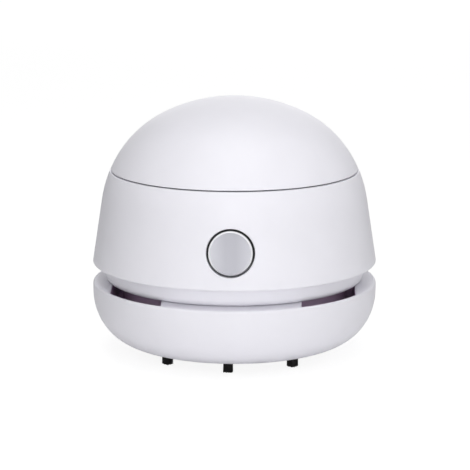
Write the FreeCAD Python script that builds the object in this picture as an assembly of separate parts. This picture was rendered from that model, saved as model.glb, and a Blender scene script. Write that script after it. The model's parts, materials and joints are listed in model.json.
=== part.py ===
"""Desktop mini vacuum cleaner: a domed body that stands on a round dust container.

Millimetres, +Z up. The origin is on the desk, under the middle of the cleaner. -Y is the front, where
the button is. Every height is counted from the desk and stacked from the pieces below it.
"""

import FreeCAD, Part
import math
import os

V = FreeCAD.Vector
ORIGIN = V(0, 0, 0)
X_AXIS = V(1, 0, 0)
Z_AXIS = V(0, 0, 1)
FRONT = 270.0  # angle of the front, counted from +X

os.makedirs("parts", exist_ok=True)

# Clearances
seat_gap = 0.1  # between flat faces of bodies that meet
turn_gap = 0.4  # between round faces of bodies that turn or lift
slip_gap = 0.1  # between pieces pushed together by hand
shaft_gap = 0.03  # between the motor shaft and its bushes
air_gap = 0.5  # around the armature
tip_gap = 0.2  # between a screw's tip and the end of its hole
past = 1.0  # a cut runs this far past the face that it opens

# Outer form
crown_angle = 26.0  # turn of the arc over the top of the dome
shoulder_r = 33.0  # arc from the crown down to the seam
seam_angle = 66.8  # the dome's slope at the seam
seam_gap = 0.35
seam_wall = 1.02  # the dome's edge outside its seal's seat
body_step = 0.1  # the body stands this proud of the dome at the seam
cover_wall = 1.6
cell_dome_gap = 1.34  # top corner of a cell to the inside of the dome
body_wall = 1.8
body_round_r = 38.0  # arc from the seam into the tapered side
side_taper = 8.8  # degrees
hem_rise = 6.0  # underside of the neck to where the tapered side turns in
hem_r = 0.6
undercut_angle = 8.0
neck_wall = 1.5
neck_edge_r = 1.8  # the neck's rounded lower edge, outside its wall

# Dust bowl
bowl_step = 0.05  # the bowl stands this proud of the body's hem
bristle_reach = 3.6  # desk to the underside of the bowl
foot_r = 13.3
foot_turn = 40.0
turn_r = 15.2
turn_turn = 25.0
flank_r = 17.5
flank_turn = 25.0
bowl_wall = 1.4
bowl_floor = 3.4
bowl_skin = 0.4  # floor left over the brush ring's screws
bowl_h = 17.9  # underside to the centre of the rounded lip
bridge_half_width = 20.2  # ledges at the front and the back
bridge_lap = 1.3  # the ledges reach this far in under the neck
side_bridge_step = 0.4  # flat inner face of the ledges at the sides
bridge_rise = 1.0  # ledge top above the centre of the lip
bridge_sink = 0.1  # outer edge of the ledges below the top of the lip
bridge_depth = 7.7
bridge_wall = 1.5

# Dust cup and intake
cup_wall = 1.4
cup_corner_r = 8.0
cup_drop = 0.7  # cup top below the ledge top
cup_boss_r = 2.8
cup_boss_h = 3.6
cup_boss_skin = 1.0  # boss left over its screw
cup_screw_ring_r = 18.0
intake_bore_r = 7.6
intake_wall = 1.3
intake_mouth_r = 9.6
intake_mouth_h = 1.8
intake_flange_r = 12.5
intake_flange_t = 1.2
intake_edge_r = 0.54
intake_rise = 6.6  # tube above the cup floor
clip_t = 1.0
clip_root = 0.3
clip_reach = 1.0
clip_span_angle = 40.0
clip_count = 3

# Twist locks
lug_half_angle = 6.0
lug_slack_angle = 1.2
lug_h = 1.6
lug_reach = 1.4
lug_slack = 0.4
lock_turn = 22.0
lock_count = 4
body_lug_drop = 5.9  # cup top to the underside of its lugs
cover_lug_drop = 3.4  # seam to the underside of the cover's lugs
lug_inset = 0.3  # the cover's lugs stop short of the plug's inner face

# Brush ring
brush_edge = 0.1  # the ring's groove ends this far inside the flat underside
brush_w = 4.2
brush_t = 1.8
tuft_count = 8
tuft_turn = -2.5  # the front tuft sits this far round from the button
tuft_radial = 2.3
tuft_width = 2.8
tuft_flare = 0.3
tuft_depth = 1.4
brush_screw_count = 4

# Seal, filter and holder
seal_w = 1.2
seal_inset = 0.3  # inside the cup's outer face
seal_free_h = 1.1
seal_groove = 0.5
skirt_wall = 1.5
skirt_lug_cover = 1.9  # skirt below the lug
neck_room = 2.0  # skirt to the neck's bore
holder_t = 1.4
holder_flange = 3.0  # pillar screws to the edge of the holder's opening
filter_wall_gap = 0.3  # seal to the filter's wall
filter_wall = 0.7
filter_h = 2.9
filter_rim = 1.7
filter_grille_t = 1.1
filter_bar = 1.2
filter_bars = 3
filter_hub_r = 4.0
filter_pad_t = 1.6
filter_tab_h = 2.8
filter_tab_w = 8.0

# Fan
shroud_inset = 0.2  # inside the holder's skirt
shroud_t = 1.4
eye_r = 10.5
blade_gap = 0.7
blade_h = 4.2
blade_t = 1.0
blade_in_r = 8.0
blade_curve_r = 15.0
blade_count = 9
fan_gap = 1.8  # fan to the pillars
fan_back_t = 1.0
fan_hub_r = 4.0
fan_edge = 0.2  # the blades end this far inside the fan's rim
plate_gap = 0.5
plate_t = 1.4
pillar_r = 2.2
pillar_skin = 1.4  # left over the screw's hole, besides the plate
shelf_gap = 0.4  # tray's posts to the shelf
shelf_lap = 3.8  # the plate's rim under the shelf
shelf_t = 1.4
shelf_boss_r = 2.6
shelf_boss_h = 5.6
shelf_boss_skin = 0.8
shelf_screw_inset = 2.0  # from the plate's rim
shelf_screw_angles = (20.0, 160.0, 200.0, 340.0)

# Motor
motor_r = 12.2
motor_h = 12.3
motor_can_wall = 0.9
motor_cap_t = 1.0
motor_spigot_h = 1.2
motor_boss_r = 3.1
motor_screw_x = 6.0
motor_boss_inset = 0.3  # the motor's boss ends above the plate's underside
shaft_r = 1.0
shaft_inset = 0.3  # the shaft ends inside the fan's hub
bush_inset = 0.2
bush_r = 2.4
bush_h = 1.8
magnet_t = 1.5
magnet_half_angle = 65.0
magnet_inset = 0.8
armature_inset = 1.2
armature_poles = 3
armature_slot = 2.0
armature_core_r = 4.2
armature_shoe_t = 1.6
armature_room_angle = 42.0
coil_gap = 0.2
coil_start_angle = 4.0
coil_end_angle = 40.0
commutator_r = 2.4
commutator_h = 2.2
commutator_drop = 0.2
commutator_slot_w = 0.3
commutator_slot_depth = 0.4
brush_leaf_gap = 0.3
brush_leaf_t = 0.3
brush_leaf_w = 2.4
terminal_w = 1.6
terminal_t = 0.4
terminal_h = 1.2
motor_ring_h = 1.5
motor_ring_t = 1.0

# Battery tray
cell_r = 7.25
cell_length = 50.5
cell_nub_r = 2.75
cell_nub_h = 1.2
cell_apart = 0.5  # between the two cells
cell_gap = 0.15
cell_bevel = 0.6
cell_spring_h = 2.1
contact_t = 0.35
contact_w = 9.0
contact_inset = 1.0
contact_tail = 1.5  # the contacts' tabs reach this far below the tray
tray_gap = 3.8  # motor top to tray
tray_t = 1.4
tray_edge = 0.6  # floor outside the bay's corners and the screws' heads
tray_wall = 1.2
tray_wall_h = 9.0
tray_side_h = 5.5
tray_side_length = 24.0
tray_post_r = 2.5
tray_post_gap = 2.0  # screw head to the side wall
tray_post_hole = 6.0
tray_screw_length = 5.0
contact_wire_r = 0.3
contact_coil_r = 3.2
contact_turns = 2.0

# Cover plug
plug_wall = 1.5
plug_gap = 0.5  # around the tray
socket_depth = 5.0
plug_depth = 4.8
web_t = 1.3
web_reach = 1.4
cover_seal_room = 1.3
cover_seal_w = 0.9
cover_seal_depth = 1.0

# Button and switch, counted inwards along the button's own axis
button_rise = 5.2  # fan plate to the button's centre
button_hole_r = 6.9
button_r = 6.3
button_proud = 0.6
button_edge_r = 0.6
button_dish_r = 60.0
button_dish_rim = 1.6
button_wall = 1.3
button_top_t = 2.4
button_stem_wall = 1.2
button_travel = 1.5
collar_r = 8.5
collar_depth = 3.6
button_flange_r = 7.6
button_flange_t = 0.9
button_free_room = 1.5  # behind the flange when the button is pressed
switch_depth = 8.2
switch_half = 2.9
switch_length = 5.0
switch_bore_r = 2.1
switch_bore_slack = 0.5
switch_room_depth = 3.0
plunger_r = 1.7
plunger_inside = 2.2
plunger_engage = 2.0
spring_coil_r = 2.7
spring_wire_r = 0.2
spring_turns = 3.5
bracket_t = 1.0
bracket_half = 6.2
bracket_foot = 5.2
bracket_reach = 3.0  # upright past the switch
bracket_head_gap = 0.5
switch_pin_x = 1.5
switch_pin_w = 0.5
switch_pin_h = 3.2

# Fasteners and wires
small_shank_r = 0.75
small_head_r = 1.6
screw_shank_r = 0.85
screw_head_r = 1.9
screw_head_h = 1.2
screw_head_sink = 0.2
cross_w = 0.4
cross_depth = 0.45
cross_reach = 0.55  # share of the head's radius
pilot_gap = 0.05
through_gap = 0.3
wire_r = 0.55
wire_bend = 0.45  # share of a run that its bends may use
wire_lead = 3.0  # straight run behind a pin
wire_over = 1.7  # above the motor's terminals
wire_post_gap = 1.6  # wire to the tray's posts
wire_beside = 1.5  # beside the motor
wire_drop = 4.0  # below a contact's tab
wire_back_drop = 2.5
wire_climb = 5.0
wire_lift = 2.0
wire_aside = 1.0
wire_turn = 3.0


def sine(angle):
    return math.sin(math.radians(angle))


def cosine(angle):
    return math.cos(math.radians(angle))


# Heights stacked from the desk
base_z = bristle_reach
floor_z = base_z + bowl_floor
lip_z = base_z + bowl_h
bridge_z = lip_z + bridge_rise
neck_z = bridge_z + seat_gap
hem_z = neck_z + hem_rise
cup_top_z = bridge_z - cup_drop
body_lug_z = cup_top_z - body_lug_drop
seal_z = cup_top_z + seat_gap
holder_z = cup_top_z + seal_free_h
shroud_z = holder_z + holder_t
blade_z = shroud_z + shroud_t + blade_gap
fan_back_z = blade_z + blade_h
fan_top_z = fan_back_z + fan_back_t
plate_z = fan_top_z + plate_gap
plate_top_z = plate_z + plate_t
button_z = plate_top_z + button_rise
motor_top_z = plate_top_z + motor_h
tray_z = motor_top_z + tray_gap
tray_top_z = tray_z + tray_t
cell_z = tray_top_z + cell_gap + cell_r
cup_floor_z = floor_z + cup_wall
filter_z = holder_z - filter_h
skirt_z = body_lug_z - skirt_lug_cover

# Radii from the cells out to the seam
cell_pitch = 2 * cell_r + cell_apart
bay_half = cell_length / 2 + cell_spring_h / 2 + contact_t
bay_side_y = cell_pitch / 2 + cell_r + cell_gap
tray_post_xy = bay_side_y + tray_wall + screw_head_r + tray_post_gap
tray_corner_r = math.hypot(bay_half + tray_wall, bay_side_y)
tray_head_r = math.hypot(tray_post_xy, tray_post_xy) + screw_head_r
tray_r = max(tray_corner_r, tray_head_r) + tray_edge
plug_in_r = tray_r + plug_gap
plug_r = plug_in_r + plug_wall
socket_r = plug_r + turn_gap
seam_r = socket_r + cover_seal_room + seam_wall

# The dome: its two arcs end at the seam and clear the cells
shoulder_x = seam_r - shoulder_r * sine(seam_angle)
crown_r = shoulder_r + shoulder_x / sine(crown_angle)
corner_r = math.hypot(bay_half - contact_t - cell_nub_h, cell_pitch / 2)
reach_in = shoulder_r - cover_wall - cell_dome_gap
shoulder_z = cell_z + cell_r - math.sqrt(reach_in ** 2 - (corner_r - shoulder_x) ** 2)
total_height = shoulder_z - (crown_r - shoulder_r) * cosine(crown_angle) + crown_r
seam_top_z = shoulder_z + shoulder_r * cosine(seam_angle)
seam_z = seam_top_z - seam_gap / 2
seam_low_z = seam_z - seam_gap / 2

# The body's side: the dome's arc carried on below the seam, then its own arc and taper
side_angle = math.degrees(math.acos(cosine(seam_angle) - seam_gap / shoulder_r))
side_r = shoulder_x + shoulder_r * sine(side_angle) + body_step
taper_z = seam_low_z - body_round_r * (cosine(side_angle) - sine(side_taper))
taper_r = side_r + body_round_r * (cosine(side_taper) - sine(side_angle))
hem_out_r = taper_r + (taper_z - hem_z) * sine(side_taper) / cosine(side_taper)
bowl_r = hem_out_r + hem_r * (1 - cosine(side_taper)) + bowl_step

# Radii inside the body, from the tray's posts out to the neck
shelf_in_r = math.hypot(tray_post_xy, tray_post_xy) + tray_post_r + shelf_gap
plate_r = shelf_in_r + shelf_lap
shelf_screw_ring_r = plate_r - shelf_screw_inset
neck_bore_r = plate_r + turn_gap
neck_r = neck_bore_r + neck_wall
neck_out_r = neck_r + neck_edge_r

# Radii from the neck in to the cup, the filter and the fan
skirt_out_r = neck_bore_r - neck_room
skirt_in_r = skirt_out_r - skirt_wall
shroud_r = skirt_out_r - shroud_inset
cup_r = skirt_in_r - turn_gap
seal_out_r = cup_r - seal_inset
seal_in_r = seal_out_r - seal_w
filter_wall_r = seal_in_r - filter_wall_gap
filter_r = filter_wall_r - filter_wall - slip_gap
pillar_ring_r = filter_r - screw_head_r
holder_open_r = pillar_ring_r - holder_flange
fan_r = pillar_ring_r - pillar_r - fan_gap

# Radii of the bowl and its brush ring
bridge_in_r = neck_r - bridge_lap
side_bridge_x = bridge_in_r + side_bridge_step
foot_spread = foot_r * sine(foot_turn)
turn_spread = turn_r * (sine(foot_turn + turn_turn) - sine(foot_turn))
flank_spread = flank_r * (1 - sine(foot_turn + turn_turn))
bowl_flat_r = bowl_r - foot_spread - turn_spread - flank_spread
brush_out_r = bowl_flat_r - brush_edge
brush_in_r = brush_out_r - brush_w
brush_mid_r = (brush_in_r + brush_out_r) / 2
tube_r = intake_bore_r + intake_wall
tube_hole_r = tube_r + slip_gap

# Radii inside the motor
magnet_r = motor_r - motor_can_wall
armature_r = magnet_r - magnet_t - air_gap


class Pen:
    """Draws an outline in radius and height.

    Heading 0 is outwards and 90 is up. Turns to the left are positive.
    """

    def __init__(self, r, z, heading=0.0):
        self.r = r
        self.z = z
        self.heading = heading
        self.first = V(r, 0, z)
        self.edges = []

    def spot(self):
        return V(self.r, 0, self.z)

    def to(self, r, z):
        self.edges.append(Part.makeLine(self.spot(), V(r, 0, z)))
        self.r = r
        self.z = z
        return self

    def line(self, length):
        h = math.radians(self.heading)
        return self.to(self.r + length * math.cos(h), self.z + length * math.sin(h))

    def arc(self, radius, turn):
        side = math.copysign(radius, turn)
        h = math.radians(self.heading)
        centre = V(self.r - side * math.sin(h), 0, self.z + side * math.cos(h))
        ends = []
        for share in (0.5, 1.0):
            a = math.radians(self.heading + turn * share)
            ends.append(centre + V(side * math.sin(a), 0, -side * math.cos(a)))
        self.edges.append(Part.Arc(self.spot(), ends[0], ends[1]).toShape())
        self.r = ends[1].x
        self.z = ends[1].z
        self.heading += turn
        return self

    def solid(self):
        if self.spot().distanceToPoint(self.first) > 1e-6:
            self.to(self.first.x, self.first.z)
        return Part.Face(Part.Wire(self.edges)).revolve(ORIGIN, Z_AXIS, 360)


def disc(r, z0, z1):
    return Part.makeCylinder(r, z1 - z0, V(0, 0, z0))


def ring(r_in, r_out, z0, z1):
    return disc(r_out, z0, z1).cut(disc(r_in, z0 - past, z1 + past))


def post(r, x, y, z0, z1):
    return Part.makeCylinder(r, z1 - z0, V(x, y, z0))


def box(x0, x1, y0, y1, z0, z1):
    return Part.makeBox(x1 - x0, y1 - y0, z1 - z0, V(x0, y0, z0))


def sector(r_in, r_out, z0, z1, start, end):
    """A piece of a ring, from one angle to another."""
    corners = [V(r_in, 0, z0), V(r_out, 0, z0), V(r_out, 0, z1), V(r_in, 0, z1)]
    face = Part.Face(Part.makePolygon(corners + corners[:1]))
    piece = face.revolve(ORIGIN, Z_AXIS, end - start)
    piece.rotate(ORIGIN, Z_AXIS, start)
    return piece


def turned(shape, angle):
    copy = shape.copy()
    copy.rotate(ORIGIN, Z_AXIS, angle)
    return copy


def around(shape, count, start=0.0):
    return [turned(shape, start + k * 360.0 / count) for k in range(count)]


def polar(r, angle):
    a = math.radians(angle)
    return r * math.cos(a), r * math.sin(a)


def fused(first, *others):
    return first.fuse(list(others)).removeSplitter()


def group(solids):
    return Part.makeCompound(solids)


def save(name, shape):
    shape.exportStep("parts/" + name + ".step")


def screw(x, y, z_head, z_tip, head_r, shank_r, sunk):
    """A cross-head screw between two heights; its head is at z_head."""
    up = 1 if z_tip > z_head else -1
    length = abs(z_tip - z_head)
    if sunk:
        head = Part.makeCone(head_r, shank_r, head_r - shank_r)
        shank = Part.makeCylinder(shank_r, length)
    else:
        head = Part.makeCylinder(head_r, screw_head_h, V(0, 0, -screw_head_h))
        shank = Part.makeCylinder(shank_r, length)
    low = 0 if sunk else -screw_head_h
    arm = head_r * cross_reach
    slot = box(-arm, arm, -cross_w / 2, cross_w / 2, low - past, low + cross_depth)
    cross = slot.fuse(turned(slot, 90))
    solid = head.fuse(shank).cut(cross)
    if up < 0:
        solid.rotate(ORIGIN, X_AXIS, 180)
    solid.translate(V(x, y, z_head))
    return solid


def sunk_hole(x, y, z_face, z_end, head_r, shank_r):
    """A countersunk hole from a face at z_face towards z_end."""
    up = 1 if z_end > z_face else -1
    length = abs(z_end - z_face)
    r = shank_r + through_gap
    cone = Part.makeCone(head_r + pilot_gap, shank_r + pilot_gap, head_r - shank_r)
    cut = cone.fuse(Part.makeCylinder(r, length))
    if up < 0:
        cut.rotate(ORIGIN, X_AXIS, 180)
    cut.translate(V(x, y, z_face))
    return cut


def lock_lugs(r_in, r_out, low_z):
    lug = sector(r_in, r_out, low_z, low_z + lug_h, -lug_half_angle, lug_half_angle)
    return around(lug, lock_count)


def lock_slots(r_in, r_out, mouth_z, lug_z):
    """L-shaped cuts: a lug comes in from below, then runs along as the piece is turned clockwise."""
    half = lug_half_angle + lug_slack_angle
    top = lug_z + lug_h + lug_slack
    entry = sector(r_in - past, r_out + past, mouth_z - past, top, -half, half)
    run = sector(r_in - past, r_out + past, lug_z - lug_slack, top, -half, half + lock_turn)
    return around(entry.fuse(run), lock_count)


def bowl_form(inset):
    """The bowl's outer form, or its inside when inset; ends at the lip."""
    pen = Pen(0, base_z + inset)
    pen.line(bowl_flat_r)
    pen.arc(foot_r - inset, foot_turn)
    pen.arc(turn_r - inset, turn_turn)
    pen.arc(flank_r - inset, flank_turn)
    pen.to(pen.r, lip_z)
    pen.heading = 90.0
    return pen


def dust_bowl():
    lip = bowl_form(0)
    lip.arc(bowl_wall / 2, 180.0)
    outer = lip.to(0, lip_z).solid()
    above = lip_z + bowl_wall
    cavity = bowl_form(bowl_wall).to(bowl_r - bowl_wall, above).to(0, above).solid()
    cavity = cavity.cut(disc(bowl_r, 0, floor_z))
    shell = outer.cut(cavity)
    return drilled_floor(fused(shell, *bridges()))


def bridge_form(inset, low):
    """A ledge turned all the way round: flat under the neck, then falling to the lip."""
    wall_r = bowl_r - bowl_wall / 2
    edge_z = lip_z + bowl_wall / 2 - bridge_sink
    pen = Pen(bridge_in_r + inset, low)
    pen.to(wall_r, low).to(wall_r, edge_z - inset).to(neck_r, bridge_z - inset)
    return pen.to(bridge_in_r + inset, bridge_z - inset).solid()


def bridges():
    """Four ledges inside the rim; the air leaves between them."""
    full = bridge_form(0, bridge_z - bridge_depth)
    core = bridge_form(bridge_wall, bridge_z - bridge_depth - past)
    low, high = 0, bridge_z + past
    reach = bowl_r
    w = bridge_half_width
    front = box(-w, w, -reach, 0, low, high)
    front_core = box(-w + bridge_wall, w - bridge_wall, -reach, 0, low, high)
    side = box(side_bridge_x, reach, -reach, reach, low, high)
    side_core = box(side_bridge_x + bridge_wall, reach, -reach, reach, low, high)
    ledge = full.common(front).cut(core.common(front_core))
    cheek = full.common(side).cut(core.common(side_core))
    return [ledge, turned(ledge, 180), cheek, turned(cheek, 180)]


def drilled_floor(bowl):
    low = base_z - past
    cuts = [disc(tube_hole_r, low, floor_z + past)]
    cuts.append(ring(brush_in_r, brush_out_r, low, base_z + brush_t))
    for angle in cup_screw_angles():
        x, y = polar(cup_screw_ring_r, angle)
        cuts.append(post(screw_shank_r + through_gap, x, y, low, floor_z + past))
        cuts.append(post(screw_head_r + through_gap, x, y, low, base_z + screw_head_h + screw_head_sink))
    for angle in brush_screw_angles():
        x, y = polar(brush_mid_r, angle)
        cuts.append(post(small_shank_r + pilot_gap, x, y, base_z, floor_z - bowl_skin))
    return bowl.cut(cuts)


def cup_screw_angles():
    return [FRONT + 45 + 90 * k for k in range(4)]


def tuft_angles():
    return [FRONT + tuft_turn + k * 360.0 / tuft_count for k in range(tuft_count)]


def brush_screw_angles():
    step = 360.0 / brush_screw_count
    return [FRONT + tuft_turn + 180.0 / tuft_count + k * step for k in range(brush_screw_count)]


def dust_cup():
    flat_r = cup_r - cup_corner_r
    pen = Pen(tube_hole_r, floor_z)
    pen.line(flat_r - tube_hole_r).arc(cup_corner_r, 90)
    pen.to(cup_r, cup_top_z).to(cup_r - cup_wall, cup_top_z)
    pen.to(cup_r - cup_wall, floor_z + cup_corner_r)
    pen.heading = -90.0
    pen.arc(cup_corner_r - cup_wall, -90).to(tube_hole_r, cup_floor_z)
    boss_top = cup_floor_z + cup_boss_h
    bosses = []
    holes = []
    for angle in cup_screw_angles():
        x, y = polar(cup_screw_ring_r, angle)
        bosses.append(post(cup_boss_r, x, y, floor_z + cup_wall / 2, boss_top))
        holes.append(post(screw_shank_r + pilot_gap, x, y, floor_z - past, boss_top - cup_boss_skin))
    lugs = lock_lugs(cup_r - cup_wall / 2, cup_r + lug_reach, body_lug_z)
    return fused(pen.solid(), *bosses, *lugs).cut(holes)


def intake_tube():
    """Intake mouth under the bowl, and the tube that lifts the dust over the cup's floor."""
    low = base_z - intake_flange_t
    top = cup_floor_z + intake_rise
    pen = Pen(intake_mouth_r, low)
    pen.to(intake_flange_r - intake_edge_r, low).arc(intake_edge_r, 90).to(intake_flange_r, base_z)
    pen.to(tube_r, base_z).to(tube_r, top).to(intake_bore_r, top).to(intake_bore_r, low + intake_mouth_h)
    clip_top = cup_floor_z + clip_t
    clip = sector(tube_r - clip_root, tube_r + clip_reach, cup_floor_z, clip_top, 0, clip_span_angle)
    return fused(pen.solid(), *around(clip, clip_count))


def brush_ring():
    solid = ring(brush_in_r + slip_gap, brush_out_r - slip_gap, base_z, base_z + brush_t)
    pocket = tuft_root(0)
    pocket.translate(V(brush_mid_r, 0, 0))
    cuts = [turned(pocket, angle) for angle in tuft_angles()]
    for angle in brush_screw_angles():
        x, y = polar(brush_mid_r, angle)
        cuts.append(sunk_hole(x, y, base_z, floor_z, small_head_r, small_shank_r))
    return solid.cut(cuts)


def tuft_root(low):
    a = tuft_radial / 2
    b = tuft_width / 2
    return box(-a, a, -b, b, low, base_z + tuft_depth)


def tuft():
    """One block of bristles, a little wider at its tips."""
    wires = []
    for z, grow in ((0, tuft_flare), (base_z, 0)):
        a = (tuft_radial + grow) / 2
        b = (tuft_width + grow) / 2
        wires.append(Part.makePolygon([V(-a, -b, z), V(a, -b, z), V(a, b, z), V(-a, b, z), V(-a, -b, z)]))
    solid = fused(Part.makeLoft(wires, True), tuft_root(base_z))
    solid.translate(V(brush_mid_r, 0, 0))
    return solid


def bristle_tufts():
    return group([turned(tuft(), angle) for angle in tuft_angles()])


def brush_ring_screws():
    tip = floor_z - bowl_skin - tip_gap
    spots = [polar(brush_mid_r, angle) for angle in brush_screw_angles()]
    return group([screw(x, y, base_z, tip, small_head_r, small_shank_r, True) for x, y in spots])


def cup_screws():
    head = base_z + screw_head_h + screw_head_sink
    tip = cup_floor_z + cup_boss_h - cup_boss_skin - tip_gap
    spots = [polar(cup_screw_ring_r, angle) for angle in cup_screw_angles()]
    return group([screw(x, y, head, tip, screw_head_r, screw_shank_r, False) for x, y in spots])


def body_seal_ring():
    return ring(seal_in_r, seal_out_r, seal_z, holder_z + seal_groove - seat_gap)


def filter_holder():
    """Ring that closes on the cup: its skirt has the twist lock's slots and its roof carries the filter."""
    flange = ring(holder_open_r, skirt_out_r, holder_z, shroud_z)
    skirt = ring(skirt_in_r, skirt_out_r, skirt_z, holder_z)
    nest = ring(filter_wall_r - filter_wall, filter_wall_r, filter_z, holder_z)
    groove = ring(seal_in_r - turn_gap, seal_out_r + turn_gap, holder_z - past, holder_z + seal_groove)
    groove = groove.cut(disc(filter_wall_r, filter_z, holder_z))
    cuts = [groove] + lock_slots(skirt_in_r, skirt_out_r, skirt_z, body_lug_z)
    for x, y in pillar_spots():
        cuts.append(sunk_hole(x, y, holder_z, shroud_z, screw_head_r, screw_shank_r))
    return fused(flange, skirt, nest).cut(cuts)


def filter_frame():
    rim = ring(filter_r - filter_rim, filter_r, filter_z, holder_z)
    low = filter_z
    top = filter_z + filter_grille_t
    reach = filter_r - filter_rim / 2
    bars = []
    for k in range(filter_bars):
        bar = box(-reach, reach, -filter_bar / 2, filter_bar / 2, low, top)
        bars.append(turned(bar, (k + 0.5) * 180.0 / filter_bars))
    tab = box(-filter_tab_w / 2, filter_tab_w / 2, -filter_bar / 2, filter_bar / 2, low - filter_tab_h, top)
    return fused(rim, disc(filter_hub_r, low, top), tab, *bars)


def filter_pad():
    low = filter_z + filter_grille_t
    return disc(filter_r - filter_rim - slip_gap, low, low + filter_pad_t)


def pillar_spots():
    return [polar(pillar_ring_r, 45 + 90 * k) for k in range(4)]


def shelf_spots():
    return [polar(shelf_screw_ring_r, angle) for angle in shelf_screw_angles]


def fan_shroud():
    cuts = [post(screw_shank_r + through_gap, x, y, holder_z, blade_z) for x, y in pillar_spots()]
    return ring(eye_r, shroud_r, shroud_z, shroud_z + shroud_t).cut(cuts)


def shroud_screws():
    tip = plate_z - pillar_skin - tip_gap
    return group([screw(x, y, holder_z, tip, screw_head_r, screw_shank_r, True) for x, y in pillar_spots()])


def tray_post_spots():
    return [(sx * tray_post_xy, sy * tray_post_xy) for sx in (-1, 1) for sy in (-1, 1)]


def fan_plate():
    """Plate between the fan and the motor, with pillars down to the shroud and posts up to the tray."""
    nest_r = motor_r + slip_gap
    nest = ring(nest_r, nest_r + motor_ring_t, plate_top_z, plate_top_z + motor_ring_h)
    solids = [nest]
    low, high = plate_z - past, plate_top_z + past
    cuts = [disc(motor_boss_r + slip_gap, low, high)]
    for x, y in pillar_spots():
        solids.append(post(pillar_r, x, y, shroud_z + shroud_t, plate_z))
        cuts.append(post(screw_shank_r + pilot_gap, x, y, shroud_z, plate_z - pillar_skin))
    for x, y in tray_post_spots():
        solids.append(post(tray_post_r, x, y, plate_top_z, tray_z))
        cuts.append(post(screw_shank_r + pilot_gap, x, y, tray_z - tray_post_hole, tray_top_z))
    for x, y in shelf_spots():
        cuts.append(post(screw_shank_r + through_gap, x, y, low, high))
    for x in (-motor_screw_x, motor_screw_x):
        cuts.append(sunk_hole(x, 0, plate_z, plate_top_z, small_head_r, small_shank_r))
    for x, y in bracket_screw_spots():
        cuts.append(post(small_shank_r + pilot_gap, x, y, low, high))
    cuts.append(flange_room())
    return fused(disc(plate_r, plate_z, plate_top_z), *solids).cut(cuts)


def plate_screws():
    tip = plate_top_z + shelf_t + shelf_boss_h - shelf_boss_skin - tip_gap
    return group([screw(x, y, plate_z, tip, screw_head_r, screw_shank_r, False) for x, y in shelf_spots()])


def wall_path(inset, low):
    """The body's side from the seam down to a height, or its inside when inset."""
    start_r = side_r - inset * sine(side_angle)
    pen = Pen(start_r, seam_low_z - inset * cosine(side_angle), -side_angle)
    pen.arc(body_round_r - inset, side_angle - 90 + side_taper)
    return pen.line((pen.z - low) / cosine(side_taper))


def body_outline():
    """The side, its hem, the nearly flat underside and the upright neck with its rounded lower edge."""
    pen = wall_path(0, hem_z).arc(hem_r, -(90 - undercut_angle + side_taper))
    pen.line((pen.r - neck_out_r) / cosine(undercut_angle))
    pen.to(neck_out_r, neck_z + neck_edge_r)
    pen.heading = -90.0
    pen.arc(neck_edge_r, -90)
    return pen.to(0, neck_z).to(0, seam_low_z).solid()


def body_cavity():
    pen = wall_path(body_wall, hem_z - hem_r + body_wall)
    return pen.to(0, pen.z).to(0, pen.first.z).solid()


def wall_r_at(z):
    return taper_r + (taper_z - z) * sine(side_taper) / cosine(side_taper)


def on_wall(shape):
    """Moves a piece made along +Z so that +Z points out of the wall at the button."""
    copy = shape.copy()
    copy.rotate(ORIGIN, X_AXIS, 90 - side_taper)
    copy.translate(V(0, -wall_r_at(button_z), button_z))
    return copy


def flange_room():
    """Room behind the collar for the button's flange over its travel."""
    depth = collar_depth + button_flange_t + button_travel + button_free_room
    return on_wall(disc(button_flange_r + turn_gap, -depth, -collar_depth))


def body_shell():
    top = seam_low_z
    form = body_outline()
    solid = form.cut(body_cavity())
    collar = on_wall(disc(collar_r, -collar_depth, 0)).common(form)
    socket = ring(socket_r, socket_r + 2 * body_wall, top - socket_depth, top).common(form)
    shelf = ring(shelf_in_r, bowl_r, plate_top_z, plate_top_z + shelf_t).common(form)
    shelf_top = plate_top_z + shelf_t
    boss_top = shelf_top + shelf_boss_h
    bosses = [post(shelf_boss_r, x, y, shelf_top, boss_top) for x, y in shelf_spots()]
    lugs = lock_lugs(plug_in_r + lug_inset, socket_r + past, seam_z - cover_lug_drop)
    solid = fused(solid, collar, socket, shelf, *bosses, *lugs)
    cuts = [disc(neck_bore_r, 0, plate_z)]
    cuts.append(disc(socket_r + cover_seal_room, top - cover_seal_depth, top + past))
    cuts.append(on_wall(disc(button_hole_r, -collar_depth - past, collar_depth)))
    cuts.append(switch_room())
    for x, y in shelf_spots():
        cuts.append(post(screw_shank_r + pilot_gap, x, y, plate_z, boss_top - shelf_boss_skin))
    return solid.cut(cuts)


def switch_room():
    """Opening in the shelf for the button's flange and the switch."""
    depth = switch_depth + switch_length + switch_room_depth
    return on_wall(disc(collar_r, -depth, -collar_depth))


def motor_can():
    top = motor_top_z - motor_cap_t
    low = plate_top_z
    can = disc(motor_r, low, top).cut(disc(magnet_r, low + motor_can_wall, top + past))
    boss = disc(motor_boss_r, plate_z + motor_boss_inset, low)
    cuts = [disc(bush_r, plate_z, top)]
    for x in (-motor_screw_x, motor_screw_x):
        cuts.append(post(small_shank_r + pilot_gap, x, 0, plate_z, top))
    return fused(can, boss).cut(cuts)


def motor_end_cap():
    top = motor_top_z
    low = top - motor_cap_t
    spigot = disc(magnet_r - slip_gap, low - motor_spigot_h, low)
    return fused(disc(motor_r, low, top), spigot).cut(disc(bush_r, plate_z, top + past))


def motor_magnets():
    low = plate_top_z + motor_can_wall + magnet_inset
    high = motor_top_z - motor_cap_t - motor_spigot_h - magnet_inset
    pieces = []
    for middle in (90, 270):
        start = middle - magnet_half_angle
        end = middle + magnet_half_angle
        pieces.append(sector(magnet_r - magnet_t, magnet_r, low, high, start, end))
    return group(pieces)


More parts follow.
